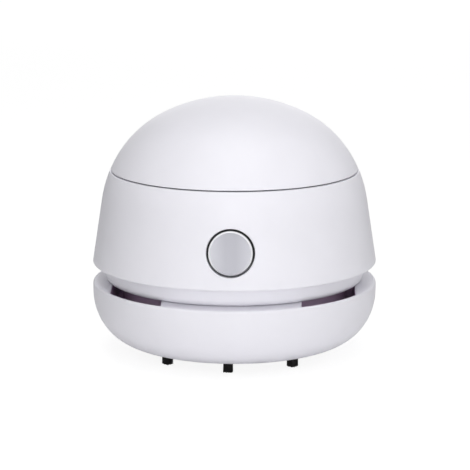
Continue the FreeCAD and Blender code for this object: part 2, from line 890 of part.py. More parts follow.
def motor_bushes():
    low = plate_z + motor_boss_inset
    top = motor_top_z - bush_inset
    bore = shaft_r + shaft_gap
    return group([ring(bore, bush_r, low, low + bush_h), ring(bore, bush_r, top - bush_h, top)])


def motor_leaves():
    high = motor_top_z - motor_cap_t - motor_spigot_h
    low = high - commutator_h
    near = commutator_r + brush_leaf_gap
    leaf = box(near, near + brush_leaf_t, -brush_leaf_w / 2, brush_leaf_w / 2, low, high)
    return group([leaf, turned(leaf, 180)])


def motor_terminals():
    w = terminal_w / 2
    t = terminal_t / 2
    low, high = motor_top_z, motor_top_z + terminal_h
    return group([box(x - w, x + w, -t, t, low, high) for x in (-motor_screw_x, motor_screw_x)])


def motor_screws():
    tip = plate_top_z + motor_can_wall
    spots = (-motor_screw_x, motor_screw_x)
    return group([screw(x, 0, plate_z, tip, small_head_r, small_shank_r, True) for x in spots])


def motor_shaft():
    return disc(shaft_r, blade_z + shaft_inset, motor_top_z - seat_gap)


def commutator_span():
    high = motor_top_z - motor_cap_t - motor_spigot_h - commutator_drop
    return high - commutator_h, high


def armature_span():
    low = plate_top_z + motor_can_wall + armature_inset
    return low, commutator_span()[0] - seat_gap


def armature():
    low, high = armature_span()
    core = disc(armature_r, low, high).cut(disc(shaft_r, low - past, high + past))
    half = armature_slot / 2
    mouth = box(armature_core_r, armature_r + past, -half, half, low - past, high + past)
    turn = armature_room_angle
    room = sector(armature_core_r, armature_r - armature_shoe_t, low - past, high + past, -turn, turn)
    return core.cut(around(mouth.fuse(room), armature_poles, 180.0 / armature_poles))


def armature_windings():
    low, high = armature_span()
    r_in = armature_core_r + coil_gap
    r_out = armature_r - armature_shoe_t - coil_gap
    coil = sector(r_in, r_out, low + coil_gap, high - coil_gap, coil_start_angle, coil_end_angle)
    first = 180.0 / armature_poles
    left = around(coil, armature_poles, first)
    right = around(coil, armature_poles, first - coil_start_angle - coil_end_angle)
    return group(left + right)


def commutator():
    low, high = commutator_span()
    half = commutator_slot_w / 2
    inner = commutator_r - commutator_slot_depth
    slot = box(inner, commutator_r + past, -half, half, low - past, high + past)
    return ring(shaft_r, commutator_r, low, high).cut(around(slot, armature_poles))


def blade():
    """One blade, curved back against the turning."""
    band = ring(blade_curve_r - blade_t, blade_curve_r, blade_z, fan_back_z)
    band.translate(V(blade_in_r, blade_curve_r - blade_t / 2, 0))
    pieces = band.common(ring(blade_in_r, fan_r - fan_edge, blade_z, fan_back_z)).Solids
    return min(pieces, key=lambda piece: piece.CenterOfMass.y)


def impeller():
    back = disc(fan_r, fan_back_z, fan_top_z)
    hub = disc(fan_hub_r, blade_z, fan_back_z)
    solid = fused(back, hub, *around(blade(), blade_count))
    return solid.cut(disc(shaft_r, blade_z - past, fan_top_z + past))


def helix(coil_r, wire_radius, height, turns):
    """A round-wire coil along +Z from the origin."""
    path = Part.makeHelix(height / turns, height, coil_r)
    circle = Part.Wire(Part.makeCircle(wire_radius, V(coil_r, 0, 0), V(0, 1, 0)))
    return Part.Wire(path.Edges).makePipeShell([circle], True, True)


def button_back():
    """The flange's inner face, along the button's axis."""
    return -(collar_depth + seat_gap + button_flange_t)


def button_cap():
    face = button_proud
    back = button_back()
    pen = Pen(0, back)
    pen.to(button_flange_r, back).to(button_flange_r, back + button_flange_t)
    pen.to(button_r, back + button_flange_t).to(button_r, face - button_edge_r)
    pen.heading = 90.0
    pen.arc(button_edge_r, 90).to(0, face)
    dish_reach = button_r - button_dish_rim
    sag = button_dish_r - math.sqrt(button_dish_r ** 2 - dish_reach ** 2)
    dish = Part.makeSphere(button_dish_r, V(0, 0, face + button_dish_r - sag))
    hollow = ring(plunger_r + button_stem_wall, button_r - button_wall, back - past, face - button_top_t)
    socket = disc(plunger_r, back - past, back + plunger_engage)
    return on_wall(pen.solid().cut([dish, hollow, socket]))


def switch_plunger():
    return on_wall(disc(plunger_r, -switch_depth - plunger_inside, button_back() + plunger_engage))


def button_spring():
    height = switch_depth + button_back() - 2 * spring_wire_r
    coil = helix(spring_coil_r, spring_wire_r, height, spring_turns)
    coil.translate(V(0, 0, -switch_depth + spring_wire_r))
    return on_wall(coil)


def switch_body():
    low = -switch_depth - switch_length
    block = box(-switch_half, switch_half, -switch_half, switch_half, low, -switch_depth)
    depth = switch_depth + plunger_inside + button_travel + switch_bore_slack
    bore = disc(switch_bore_r, -depth, 0)
    return on_wall(block.cut(bore))


def bracket_back_y():
    """World y of the bracket's upright where it meets the plate."""
    depth = switch_depth + switch_length + bracket_t
    return -wall_r_at(button_z) + depth * cosine(side_taper) - switch_half * sine(side_taper)


def bracket_screw_spots():
    x = bracket_half - small_head_r - bracket_head_gap
    y = bracket_back_y() + small_head_r + bracket_head_gap
    return [(-x, y), (x, y)]


def switch_bracket():
    low = -switch_depth - switch_length
    half = bracket_half
    reach = switch_half + bracket_reach
    upright = on_wall(box(-half, half, -reach, switch_half, low - bracket_t, low))
    upright = upright.common(box(-half, half, -bowl_r, 0, plate_top_z, seam_z))
    y = bracket_back_y()
    foot = box(-half, half, y - bracket_t, y + bracket_foot, plate_top_z, plate_top_z + bracket_t)
    foot = foot.cut(on_wall(box(-half, half, -bowl_r, bowl_r, low, 0)))
    cuts = []
    for x in (-switch_pin_x, switch_pin_x):
        cuts.append(on_wall(post(switch_pin_w, x, 0, low - bracket_t - past, low + past)))
    for x, y in bracket_screw_spots():
        cuts.append(post(small_shank_r + pilot_gap, x, y, plate_z, plate_top_z + bracket_t + past))
    return fused(upright, foot).cut(cuts)


def switch_terminals():
    low = -switch_depth - switch_length
    w = switch_pin_w / 2
    pins = []
    for x in (-switch_pin_x, switch_pin_x):
        pins.append(on_wall(box(x - w, x + w, -w, w, low - switch_pin_h, low)))
    return group(pins)


def switch_screws():
    head = plate_top_z + bracket_t
    spots = bracket_screw_spots()
    return group([screw(x, y, head, plate_z, small_head_r, small_shank_r, False) for x, y in spots])


def battery_tray():
    low, top = tray_z, tray_top_z
    half = bay_half
    side_y = bay_side_y
    plate = disc(tray_r, low, top)
    walls = []
    for s in (-1, 1):
        x0, x1 = sorted((s * half, s * (half + tray_wall)))
        y0, y1 = sorted((s * side_y, s * (side_y + tray_wall)))
        walls.append(box(x0, x1, -side_y, side_y, low, top + tray_wall_h))
        walls.append(box(-tray_side_length / 2, tray_side_length / 2, y0, y1, low, top + tray_side_h))
    cuts = [post(screw_shank_r + through_gap, x, y, low - past, top + past) for x, y in tray_post_spots()]
    for x, y in tab_spots():
        cuts.append(tab_box(x, y, slip_gap, low - past, top))
    return fused(plate, *walls).cut(cuts)


def tab_spots():
    """Where the two end contacts pass down through the tray's floor."""
    x = -(bay_half - contact_t / 2)
    return [(x, -cell_pitch / 2), (x, cell_pitch / 2)]


def tab_box(x, y, grow, z0, z1):
    a = contact_t / 2 + grow
    b = terminal_w / 2 + grow
    return box(x - a, x + a, y - b, y + b, z0, z1)


def cell(side):
    """One AA cell along X; side 1 has its plus end towards +X."""
    body = Part.makeCylinder(cell_r, cell_length - cell_nub_h)
    body = body.makeChamfer(cell_bevel, [e for e in body.Edges if e.Curve.TypeId == "Part::GeomCircle"])
    nub = disc(cell_nub_r, cell_length - 2 * cell_nub_h, cell_length)
    solid = fused(body, nub)
    solid.rotate(ORIGIN, V(0, 1, 0), 90)
    solid.translate(V(-bay_half + contact_t + cell_spring_h, 0, 0))
    if side < 0:
        solid.rotate(ORIGIN, Z_AXIS, 180)
    solid.translate(V(0, -side * cell_pitch / 2, cell_z))
    return solid


def battery_springs():
    springs = []
    for side in (1, -1):
        height = cell_spring_h - 2 * contact_wire_r
        coil = helix(contact_coil_r, contact_wire_r, height, contact_turns)
        coil.rotate(ORIGIN, V(0, 1, 0), -90)
        coil.translate(V(-bay_half + contact_t + cell_spring_h - contact_wire_r, 0, 0))
        if side < 0:
            coil.rotate(ORIGIN, Z_AXIS, 180)
        coil.translate(V(0, -side * cell_pitch / 2, cell_z))
        springs.append(coil)
    return group(springs)


def battery_contacts():
    z0, z1 = tray_top_z + contact_inset, tray_top_z + tray_wall_h - contact_inset
    w = contact_w / 2
    x0, x1 = bay_half - contact_t, bay_half
    link = box(x0, x1, -cell_pitch / 2 - w, cell_pitch / 2 + w, z0, z1)
    ends = []
    for x, y in tab_spots():
        face = box(-x1, -x0, y - w, y + w, z0, z1)
        ends.append(fused(face, tab_box(x, y, 0, tray_z - contact_tail, z1)))
    return group([link] + ends)


def tray_screws():
    tip = tray_z - tray_screw_length
    spots = tray_post_spots()
    return group([screw(x, y, tray_top_z, tip, screw_head_r, screw_shank_r, False) for x, y in spots])


def wire(points):
    """A round wire along straight runs joined by arcs as large as its runs allow."""
    spots = [V(*p) for p in points]
    edges = []
    last = spots[0]
    for before, corner, after in zip(spots, spots[1:], spots[2:]):
        a = (before - corner).normalize()
        b = (after - corner).normalize()
        half = (math.pi - a.getAngle(b)) / 2
        run = wire_bend * min((before - corner).Length, (after - corner).Length)
        radius = run / math.tan(half)
        start = corner + a * run
        end = corner + b * run
        to_centre = (a + b).normalize()
        middle = corner + to_centre * (radius / math.cos(half) - radius)
        edges.append(Part.makeLine(last, start))
        edges.append(Part.Arc(start, middle, end).toShape())
        last = end
    edges.append(Part.makeLine(last, spots[-1]))
    path = Part.Wire(edges)
    circle = Part.Wire(Part.makeCircle(wire_r, spots[0], spots[1] - spots[0]))
    return path.makePipeShell([circle], True, False)


def behind_pin(x, distance):
    """A point in line with a switch pin, behind its tip."""
    depth = switch_depth + switch_length + switch_pin_h + distance
    return tuple(on_wall(Part.Vertex(x, 0, -depth)).Point)


def wires():
    """Cell to switch, switch to motor, motor to cell."""
    tab_low = tray_z - contact_tail
    (ax, ay), (bx, by) = tab_spots()
    high = motor_top_z + terminal_h
    over = high + wire_over
    out = tray_post_xy - (tray_post_r + wire_r + wire_post_gap) * sine(45)
    pin_z = behind_pin(0, 0)[2]
    feed = wire([
        (ax, ay, tab_low), (ax, ay, tab_low - wire_drop), (-out, -out, pin_z + wire_climb),
        (-out / 2, -out - wire_aside, pin_z + wire_lift),
        behind_pin(-switch_pin_x, wire_lead), behind_pin(-switch_pin_x, 0),
    ])
    link = wire([
        behind_pin(switch_pin_x, 0), behind_pin(switch_pin_x, wire_lead),
        (out / 2, -out - wire_aside, pin_z + wire_lift),
        (out / 2 + wire_aside, -motor_r - wire_beside, motor_top_z - wire_turn),
        (out / 2 + wire_aside, -out / 2, over),
        (motor_screw_x, -wire_back_drop, over), (motor_screw_x, 0, over), (motor_screw_x, 0, high),
    ])
    back = wire([
        (bx, by, tab_low), (bx, by, tab_low - wire_back_drop), (-out, by, tab_low - wire_back_drop),
        (-out / 2 - wire_turn, wire_back_drop, over), (-motor_screw_x, wire_back_drop, over),
        (-motor_screw_x, 0, over), (-motor_screw_x, 0, high),
    ])
    return feed, link, back


def dome_path(inset):
    pen = Pen(0, total_height - inset)
    pen.arc(crown_r - inset, -crown_angle)
    pen.arc(shoulder_r - inset, crown_angle - seam_angle)
    return pen


def top_cover():
    outer = dome_path(0).to(0, seam_top_z).solid()
    inner = dome_path(cover_wall)
    inner = inner.to(inner.r, seam_top_z - past).to(0, seam_top_z - past).solid()
    plug_z = seam_z - plug_depth
    plug = ring(plug_in_r, plug_r, plug_z, seam_top_z + web_t)
    web = ring(plug_in_r, socket_r + web_reach, seam_top_z, seam_top_z + web_t).common(outer)
    lug_z = seam_z - cover_lug_drop
    return fused(outer.cut(inner), plug, web).cut(lock_slots(plug_in_r, plug_r, plug_z, lug_z))


def cover_seal_ring():
    low = seam_low_z - cover_seal_depth + seat_gap
    return ring(socket_r, socket_r + cover_seal_w, low, seam_top_z - seat_gap)


def build():
    save("dust_bowl", dust_bowl())
    save("dust_cup", dust_cup())
    save("intake_tube", intake_tube())
    save("brush_ring", brush_ring())
    save("bristle_tufts", bristle_tufts())
    save("brush_ring_screws", brush_ring_screws())
    save("cup_screws", cup_screws())
    save("body_seal_ring", body_seal_ring())
    save("body_shell", body_shell())
    save("filter_holder", filter_holder())
    save("filter_frame", filter_frame())
    save("filter_pad", filter_pad())
    save("fan_shroud", fan_shroud())
    save("shroud_screws", shroud_screws())
    save("fan_plate", fan_plate())
    save("plate_screws", plate_screws())
    save("motor_can", motor_can())
    save("motor_end_cap", motor_end_cap())
    save("motor_magnets", motor_magnets())
    save("motor_bushes", motor_bushes())
    save("motor_brush_leaves", motor_leaves())
    save("motor_terminals", motor_terminals())
    save("motor_screws", motor_screws())
    save("motor_shaft", motor_shaft())
    save("armature", armature())
    save("armature_windings", armature_windings())
    save("commutator", commutator())
    save("impeller", impeller())
    save("button_cap", button_cap())
    save("switch_plunger", switch_plunger())
    save("button_spring", button_spring())
    save("switch_body", switch_body())
    save("switch_bracket", switch_bracket())
    save("switch_terminals", switch_terminals())
    save("switch_screws", switch_screws())
    save("battery_tray", battery_tray())
    save("battery_front", cell(1))
    save("battery_rear", cell(-1))
    save("battery_springs", battery_springs())
    save("battery_contacts", battery_contacts())
    save("tray_screws", tray_screws())
    feed, link, back = wires()
    save("wire_cell_to_switch", feed)
    save("wire_switch_to_motor", link)
    save("wire_motor_to_cell", back)
    save("cover_seal_ring", cover_seal_ring())
    save("top_cover", top_cover())


build()
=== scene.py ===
"""Looks of the desktop mini vacuum cleaner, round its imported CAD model.

Metres, +Z up, -Y the front. Named sizes are in millimetres and degrees.
"""

import json
import math
import random

import bmesh
import bpy
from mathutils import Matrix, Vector

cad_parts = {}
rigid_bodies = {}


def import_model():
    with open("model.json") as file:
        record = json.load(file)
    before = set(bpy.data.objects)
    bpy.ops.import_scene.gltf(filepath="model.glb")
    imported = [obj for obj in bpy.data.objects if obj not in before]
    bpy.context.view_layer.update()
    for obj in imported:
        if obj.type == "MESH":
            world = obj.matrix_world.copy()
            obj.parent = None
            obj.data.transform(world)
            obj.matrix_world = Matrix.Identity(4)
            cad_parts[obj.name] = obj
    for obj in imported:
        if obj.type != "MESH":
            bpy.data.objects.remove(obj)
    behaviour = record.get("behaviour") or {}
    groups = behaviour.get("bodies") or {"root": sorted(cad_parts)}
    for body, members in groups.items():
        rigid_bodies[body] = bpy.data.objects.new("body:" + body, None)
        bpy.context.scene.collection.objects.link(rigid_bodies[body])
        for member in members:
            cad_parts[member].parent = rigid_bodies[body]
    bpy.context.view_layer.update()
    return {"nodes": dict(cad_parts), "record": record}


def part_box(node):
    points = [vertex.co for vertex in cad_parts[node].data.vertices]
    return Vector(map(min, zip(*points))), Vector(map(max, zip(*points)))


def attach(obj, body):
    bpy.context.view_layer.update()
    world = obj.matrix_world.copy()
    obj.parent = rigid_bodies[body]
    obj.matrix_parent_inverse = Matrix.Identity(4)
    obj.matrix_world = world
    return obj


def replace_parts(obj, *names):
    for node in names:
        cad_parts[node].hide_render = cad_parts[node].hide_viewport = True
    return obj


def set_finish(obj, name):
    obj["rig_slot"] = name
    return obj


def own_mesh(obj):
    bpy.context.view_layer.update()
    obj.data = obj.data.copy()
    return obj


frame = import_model()
nodes = frame["nodes"]

MM = 0.001
SEGMENTS = 288  # round a large shell
FRONT = 270.0  # angle of the front, counted from +X
ARC_STEP = 2.0  # degrees between points
CORNER_TURN = 28  # a profile's turn, in degrees, from which softened() rounds it
CORNER_SHARE = 0.4  # most of a side that such a rounding takes
CORNER_STEPS = 4
ON_AXIS = 1e-6  # a radius that counts as none
CREASE_ANGLE = 32  # between faces that are shaded apart
BEVEL_ANGLE = 35  # between faces whose edge is rounded

# ---------------------------------------------------------------- sizes, in millimetres


def low(node):
    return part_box(node)[0] / MM


def high(node):
    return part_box(node)[1] / MM


# gaps
turn_gap = 0.4  # between round faces of bodies that turn or lift
seat_gap = 0.1  # between flat faces of bodies that meet
weld = 0.3  # how far a part of a shell reaches into its wall

# heights and radii read from the CAD
plate_t = 1.4
seam_gap = 0.35
total_height = high("top_cover").z
seam_low_z = high("body_shell").z
seam_top_z = seam_low_z + seam_gap
neck_z = low("body_shell").z
base_z = low("dust_bowl").z
bowl_r = high("dust_bowl").x
plate_top_z = low("motor_screws").z + plate_t

# cover plug, its socket and its twist lock
cover_seal_w = 0.9
cover_seal_room = 1.3
seal_step_depth = 1.0
socket_r = high("cover_seal_ring").x - cover_seal_w
socket_depth = 5.0
plug_wall = 1.5
plug_out_r = socket_r - turn_gap
plug_in_r = plug_out_r - plug_wall
plug_depth = 4.625
plug_edge_r = 0.12
web_t = 1.3
seal_step_r = socket_r + cover_seal_room
lug_h = 1.6
lug_slack = 0.4
lug_half_angle = 6.0
lug_inset = 0.3  # the lugs stop short of the plug's inner face
lug_root = 0.6  # and reach this far into the socket's wall
lug_edge_r = 0.15
slot_half_angle = 7.2
lock_turn = 22.0
lug_drop = 3.4
lock_count = 4

# outer form
seam_wall = 1.02
seam_r = seal_step_r + seam_wall
seam_angle = 66.8
crown_angle = 26.0
shoulder_r = 33.0
shoulder_x = seam_r - shoulder_r * math.sin(math.radians(seam_angle))
crown_r = shoulder_r + shoulder_x / math.sin(math.radians(crown_angle))
cover_wall = 1.6
body_step = 0.1
body_wall = 1.8
body_round_r = 38.0
side_taper = 8.8
hem_rise = 6.0
hem_z = neck_z + hem_rise
hem_r = 0.6
undercut_angle = 8.0
neck_wall = 1.5
neck_bore_r = high("fan_plate").x + turn_gap
neck_r = neck_bore_r + neck_wall
neck_edge_r = 1.8
neck_out_r = neck_r + neck_edge_r
cavity_z = hem_z - hem_r + body_wall
shell_edge_r = 0.22

# shelf that the fan plate is screwed to
shelf_t = 1.4
shelf_in_r = 31.2
shelf_gap = 17.0  # degrees to each side of the button
shelf_edge_r = 0.2
shelf_boss_r = 2.6
shelf_boss_h = 5.6
shelf_boss_sink = 0.2
shelf_screw_ring_r = 33.0
shelf_screw_angles = (20.0, 160.0, 200.0, 340.0)

# dust bowl
foot_r, foot_turn = 13.3, 40.0
turn_r, turn_turn = 15.2, 25.0
flank_r, flank_turn = 17.5, 25.0
bowl_wall = 1.4
bowl_floor = 3.4
bowl_edge_r = 0.15
wall_foot = 0.8  # the inner wall's foot, run in to the floor
# sizes of the thin mauve sheets that paint shade inside the exhaust slots
shade_sheet_t = 0.15
shade_sheet_rise = 1.0  # from the floor, where the shade sheet starts
shade_sheet_drop = 1.2
shade_sheet_gap = 0.02
shade_sheet_edge_r = 0.03
floor_z = base_z + bowl_floor
bridge_rise = 1.0
bridge_sink = 0.1
bridge_lap = 1.3
side_bridge_step = 0.4
side_bridge_end = 0.15
bridge_z = high("dust_bowl").z
lip_z = bridge_z - bridge_rise
bridge_edge_z = lip_z + bowl_wall / 2 - bridge_sink
bridge_in_r = neck_r - bridge_lap
bridge_out_r = bowl_r - bowl_wall / 2
bridge_depth = 7.7
bridge_half_width = 20.2
bridge_edge_r = 0.2
side_bridge_x = bridge_in_r + side_bridge_step
ledge_half = math.sqrt(bridge_out_r ** 2 - (side_bridge_x + side_bridge_end) ** 2)
least_flat = 0.2  # share of a ledge's width that is always flat
tube_hole_r = 9.0
brush_in_r = 24.0
brush_out_r = 28.2
brush_t = 1.8
cup_screw_ring_r = 18.0
cup_screw_head_r = 2.2
cup_screw_hole_r = 1.15
cup_screw_depth = 1.4
drill_over = 1.0  # the drill stands out of the floor this far

# button and its spring, counted inwards along the button's own axis
button_rise = 5.2
button_z = plate_top_z + button_rise
button_hole_r = 6.9
button_r = 6.3
button_proud = 0.6
button_rim = 0.4
button_hollow = 0.35
button_flange_r = 7.6
button_flange_t = 0.9
hole_edge_r = 0.3
collar_r = 8.5
collar_depth = 3.6
button_back = -(collar_depth + seat_gap + button_flange_t)
switch_depth = 8.2
spring_coil_r = 2.7
spring_wire_r = 0.2
spring_turns = 3.5

# bristles
tuft_count = 8
tuft_circle = 26.1
tuft_turn = -2.5
tuft_radial = 2.3
tuft_width = 2.8
tuft_inset = 0.2  # the outer filaments stand this far inside those sizes
tuft_rows, tuft_columns = 11, 13
tuft_flare = 1.11  # a tuft's lower end to its root
bristle_r = 0.11
bristle_taper = 0.35
bristle_root = 1.2  # above the bowl's underside
bristle_stray = 0.03
bristle_bend = 0.06
tip_z = 0.02  # above the desk
tip_ragged = 0.22
tip_bow = 0.16  # the tuft's sides are this much shorter than its middle


# ---------------------------------------------------------------- mesh helpers


class Outline:
    """Points of a profile in radius and height. Heading 0 is outwards, 90 is up."""

    def __init__(self, r, z, heading=0.0):
        self.points = [(r, z)]
        self.heading = heading

    @property
    def r(self):
        return self.points[-1][0]

    @property
    def z(self):
        return self.points[-1][1]

    def to(self, r, z, steps=1):
        r0, z0 = self.points[-1]
        for k in range(1, steps + 1):
            t = k / steps
            self.points.append((r0 + (r - r0) * t, z0 + (z - z0) * t))
        return self

    def line(self, length, steps=1):
        h = math.radians(self.heading)
        return self.to(self.r + length * math.cos(h), self.z + length * math.sin(h), steps)

    def arc(self, radius, turn, step=ARC_STEP):
        """An arc; left turns are positive."""
        side = math.copysign(radius, turn)
        h = math.radians(self.heading)
        cr = self.r - side * math.sin(h)
        cz = self.z + side * math.cos(h)
        count = max(2, round(abs(turn) / step))
        for k in range(1, count + 1):
            a = math.radians(self.heading + turn * k / count)
            self.points.append((cr + side * math.sin(a), cz - side * math.cos(a)))
        self.heading += turn
        return self


def turn_between(a, b, c):
    """Turn in degrees of a path at b."""
    first = math.atan2(b[1] - a[1], b[0] - a[0])
    second = math.atan2(c[1] - b[1], c[0] - b[0])
    return math.degrees((second - first + math.pi) % (2 * math.pi) - math.pi)


def softened(points, radius, closed=True):
    """The same path with its sharp corners rounded."""
    out = []
    count = len(points)
    for k, b in enumerate(points):
        if not closed and k in (0, count - 1):
            out.append(b)
            continue
        a = points[k - 1]
        c = points[(k + 1) % count]
        turn = turn_between(a, b, c)
        if abs(turn) < CORNER_TURN:
            out.append(b)
            continue
        ab = Vector(a) - Vector(b)
        cb = Vector(c) - Vector(b)
        reach = min(radius * math.tan(math.radians(abs(turn)) / 2),
                    CORNER_SHARE * ab.length, CORNER_SHARE * cb.length)
        start = Vector(b) + ab.normalized() * reach
        end = Vector(b) + cb.normalized() * reach
        for j in range(CORNER_STEPS + 1):
            t = j / CORNER_STEPS
            p = start * (1 - t) ** 2 + Vector(b) * (2 * t * (1 - t)) + end * t ** 2
            out.append((p.x, p.y))
    return out


def make_object(name, verts, faces, body, slot):
    """A closed mesh from millimetres, with outward normals and clean shading."""
    mesh = bpy.data.meshes.new(name)
    mesh.from_pydata([tuple(c * MM for c in v) for v in verts], [], faces)
    bm = bmesh.new()
    bm.from_mesh(mesh)
    bmesh.ops.remove_doubles(bm, verts=bm.verts, dist=1e-7)
    bmesh.ops.recalc_face_normals(bm, faces=bm.faces)
    bm.to_mesh(mesh)
    bm.free()
    obj = bpy.data.objects.new(name, mesh)
    bpy.context.scene.collection.objects.link(obj)
    mesh.shade_smooth()
    mesh.set_sharp_from_angle(angle=math.radians(CREASE_ANGLE))
    shading = obj.modifiers.new("shading", "WEIGHTED_NORMAL")
    shading.keep_sharp = True
    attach(obj, body)
    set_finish(obj, slot)
    return obj


def add_ring(verts, places):
    """Adds points to a mesh and gives their indexes."""
    first = len(verts)
    verts += [tuple(p) for p in places]
    return list(range(first, len(verts)))


def strip(lower, upper):
    """Faces between two rings of indexes, either of which may be a single point."""
    count = max(len(lower), len(upper))
    if count == 1:
        return []
    faces = []
    for s in range(count):
        n = (s + 1) % count
        if len(lower) == 1:
            faces.append((lower[0], upper[n], upper[s]))
        elif len(upper) == 1:
            faces.append((lower[s], lower[n], upper[0]))
        else:
            faces.append((lower[s], lower[n], upper[n], upper[s]))
    return faces


def strips(rings):
    """Faces from each ring to the next."""
    return [face for lower, upper in zip(rings, rings[1:]) for face in strip(lower, upper)]


def tube(verts, sections):
    """Adds sections to a mesh and gives the faces along them and over both ends."""
    rings = [add_ring(verts, section) for section in sections]
    return strips(rings) + [tuple(rings[0]), tuple(rings[-1])]


def lathe(name, points, body, slot, segments=SEGMENTS, closed=True, centre=(0.0, 0.0)):
    """A profile turned round the Z axis; an open one starts and ends on the axis."""
    turns = [2 * math.pi * s / segments for s in range(segments)]
    verts, rings = [], []
    for r, z in points:
        ring = [(centre[0] + r * math.cos(a), centre[1] + r * math.sin(a), z) for a in turns]
        rings.append(add_ring(verts, [(*centre, z)] if r < ON_AXIS else ring))
    faces = strips(rings + rings[:1] if closed else rings)
    return make_object(name, verts, faces, body, slot)


def prism(name, outline, z0, z1, body, slot, edge):
    """A plan outline raised from z0 to z1, with its edges rounded."""
    verts = []
    faces = tube(verts, [[(x, y, z) for x, y in outline] for z in (z0, z1)])
    round_edges(make_object(name, verts, faces, body, slot), edge)


def put_first(obj, modifier):
    while obj.modifiers[0] != modifier:
        obj.modifiers.move(len(obj.modifiers) - 1, 0)


def round_edges(obj, width, segments=3):
    """A bevel on the sharp edges, put before the modifiers that are there."""
    bevel = obj.modifiers.new("edges", "BEVEL")
    bevel.width = width * MM
    bevel.segments = segments
    bevel.limit_method = "ANGLE"
    bevel.angle_limit = math.radians(BEVEL_ANGLE)
    bevel.harden_normals = False
    put_first(obj, bevel)


def sorted_levels(values, step):
    """The given levels with more between them, no more than a step apart."""
    out = []
    values = sorted(values)
    for a, b in zip(values, values[1:]):
        count = max(1, math.ceil((b - a) / step))
        out += [a + (b - a) * k / count for k in range(count)]
    return out + [values[-1]]


def slotted_band(name, r_in, r_out, z0, z1, slots, body, slot):
    """A round wall with openings; each opening is (start angle, end angle, low, high)."""
    angles = sorted_levels({0.0, 360.0} | {a % 360 for s in slots for a in s[:2]}, ARC_STEP)[:-1]
    levels = sorted_levels({z0, z1} | {z for s in slots for z in s[2:]}, 4.0)
    count = len(angles)

    def is_open(i, j):
        if not 0 <= j < len(levels) - 1:
            return True
        middle = (angles[i] + (angles[(i + 1) % count] if i + 1 < count else 360.0)) / 2
        height = (levels[j] + levels[j + 1]) / 2
        for start, end, slot_low, slot_high in slots:
            if slot_low < height < slot_high and (middle - start) % 360 < (end - start) % 360:
                return True
        return False

    verts = []
    for r in (r_in, r_out):
        for z in levels:
            for a in angles:
                verts.append((r * math.cos(math.radians(a)), r * math.sin(math.radians(a)), z))
    layer = len(levels) * count

    def at(side, i, j):
        return side * layer + j * count + i % count

    faces = []
    for j in range(len(levels) - 1):
        for i in range(count):
            if is_open(i, j):
                continue
            here, right, above, across = (i, j), (i + 1, j), (i, j + 1), (i + 1, j + 1)
            for side in (0, 1):
                faces.append(tuple(at(side, *place) for place in (here, right, across, above)))
            for column, row, a, b in ((i, j - 1, here, right), (i, j + 1, above, across),
                                      (i - 1, j, here, above), (i + 1, j, right, across)):
                if is_open(column % count, row):
                    faces.append((at(0, *a), at(0, *b), at(1, *b), at(1, *a)))
    used = sorted({k for f in faces for k in f})
    order = {k: n for n, k in enumerate(used)}
    faces = [tuple(order[k] for k in f) for f in faces]
    return make_object(name, [verts[k] for k in used], faces, body, slot)


# ---------------------------------------------------------------- cover


def shoulder_fall(z):
    """The dome's slope in degrees where its shoulder comes down to a height."""
    lean = math.cos(math.radians(crown_angle))
    drop = total_height - crown_r * (1 - lean) - z
    return math.degrees(math.acos(lean - drop / shoulder_r))


def dome_path(inset, bottom_z):
    path = Outline(0, total_height - inset)
    path.arc(crown_r - inset, -crown_angle)
    path.arc(shoulder_r - inset, crown_angle - shoulder_fall(bottom_z))
    return path


def cover_dome():
    outer = dome_path(0, seam_top_z)
    inner = dome_path(cover_wall, seam_top_z + web_t)
    outer.to(plug_in_r, seam_top_z).to(plug_in_r, seam_top_z + web_t)
    points = softened(outer.points + inner.points[::-1], shell_edge_r, closed=False)
    return lathe("cover_dome", points, "battery_cover", "white_shell", closed=False)


def cover_plug():
    lug_z = seam_top_z - seam_gap / 2 - lug_drop
    plug_low = seam_top_z - plug_depth - seam_gap
    slots = []
    top = lug_z + lug_h + lug_slack
    for k in range(lock_count):
        a = 360.0 / lock_count * k
        slots.append((a - slot_half_angle, a + slot_half_angle, plug_low, top))
        slots.append((a + slot_half_angle, a + slot_half_angle + lock_turn, lug_z - lug_slack, top))
    plug_high = seam_top_z + web_t / 2
    plug = slotted_band("cover_plug", plug_in_r, plug_out_r, plug_low, plug_high, slots,
                        "battery_cover", "white_shell")
    round_edges(plug, plug_edge_r, 2)
    return plug


def cover():
    dome = cover_dome()
    plug = cover_plug()
    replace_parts(dome, "top_cover")
    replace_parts(plug, "top_cover")


# ---------------------------------------------------------------- body


def side_start():
    """Radius and slope at which the body's side starts under the seam."""
    fall = math.radians(shoulder_fall(seam_low_z))
    lean = math.radians(crown_angle)
    r = crown_r * math.sin(lean) + shoulder_r * (math.sin(fall) - math.sin(lean)) + body_step
    return r, math.degrees(fall)


def side_centre():
    """Centre of the arc from the seam into the tapered side."""
    r, fall = side_start()
    a = math.radians(fall)
    return r - body_round_r * math.sin(a), seam_low_z - body_round_r * math.cos(a)


def side_radius(z, inset):
    """Radius of the body's side at a height, or of its inside when inset."""
    cr, cz = side_centre()
    t = math.radians(side_taper)
    tangent_z = cz + (body_round_r - inset) * math.sin(t)
    if z >= tangent_z:
        return cr + math.sqrt((body_round_r - inset) ** 2 - (z - cz) ** 2)
    return cr + (body_round_r - inset) * math.cos(t) + (tangent_z - z) * math.tan(t)


# window of the wall that leads over to the button's hole
WINDOW_LOW = 30.0
WINDOW_HIGH = 47.4
WINDOW_ROWS = 18
WINDOW_HALF = 12  # segments to each side of the front
OUTER_PATCH = 12  # rings from the window to the hole, outside
INNER_PATCH = 6  # and inside
EDGE_STEPS = 6  # rings on the hole's rounded edge


def window_levels():
    step = (WINDOW_HIGH - WINDOW_LOW) / WINDOW_ROWS
    return [WINDOW_HIGH - step * k for k in range(WINDOW_ROWS + 1)]


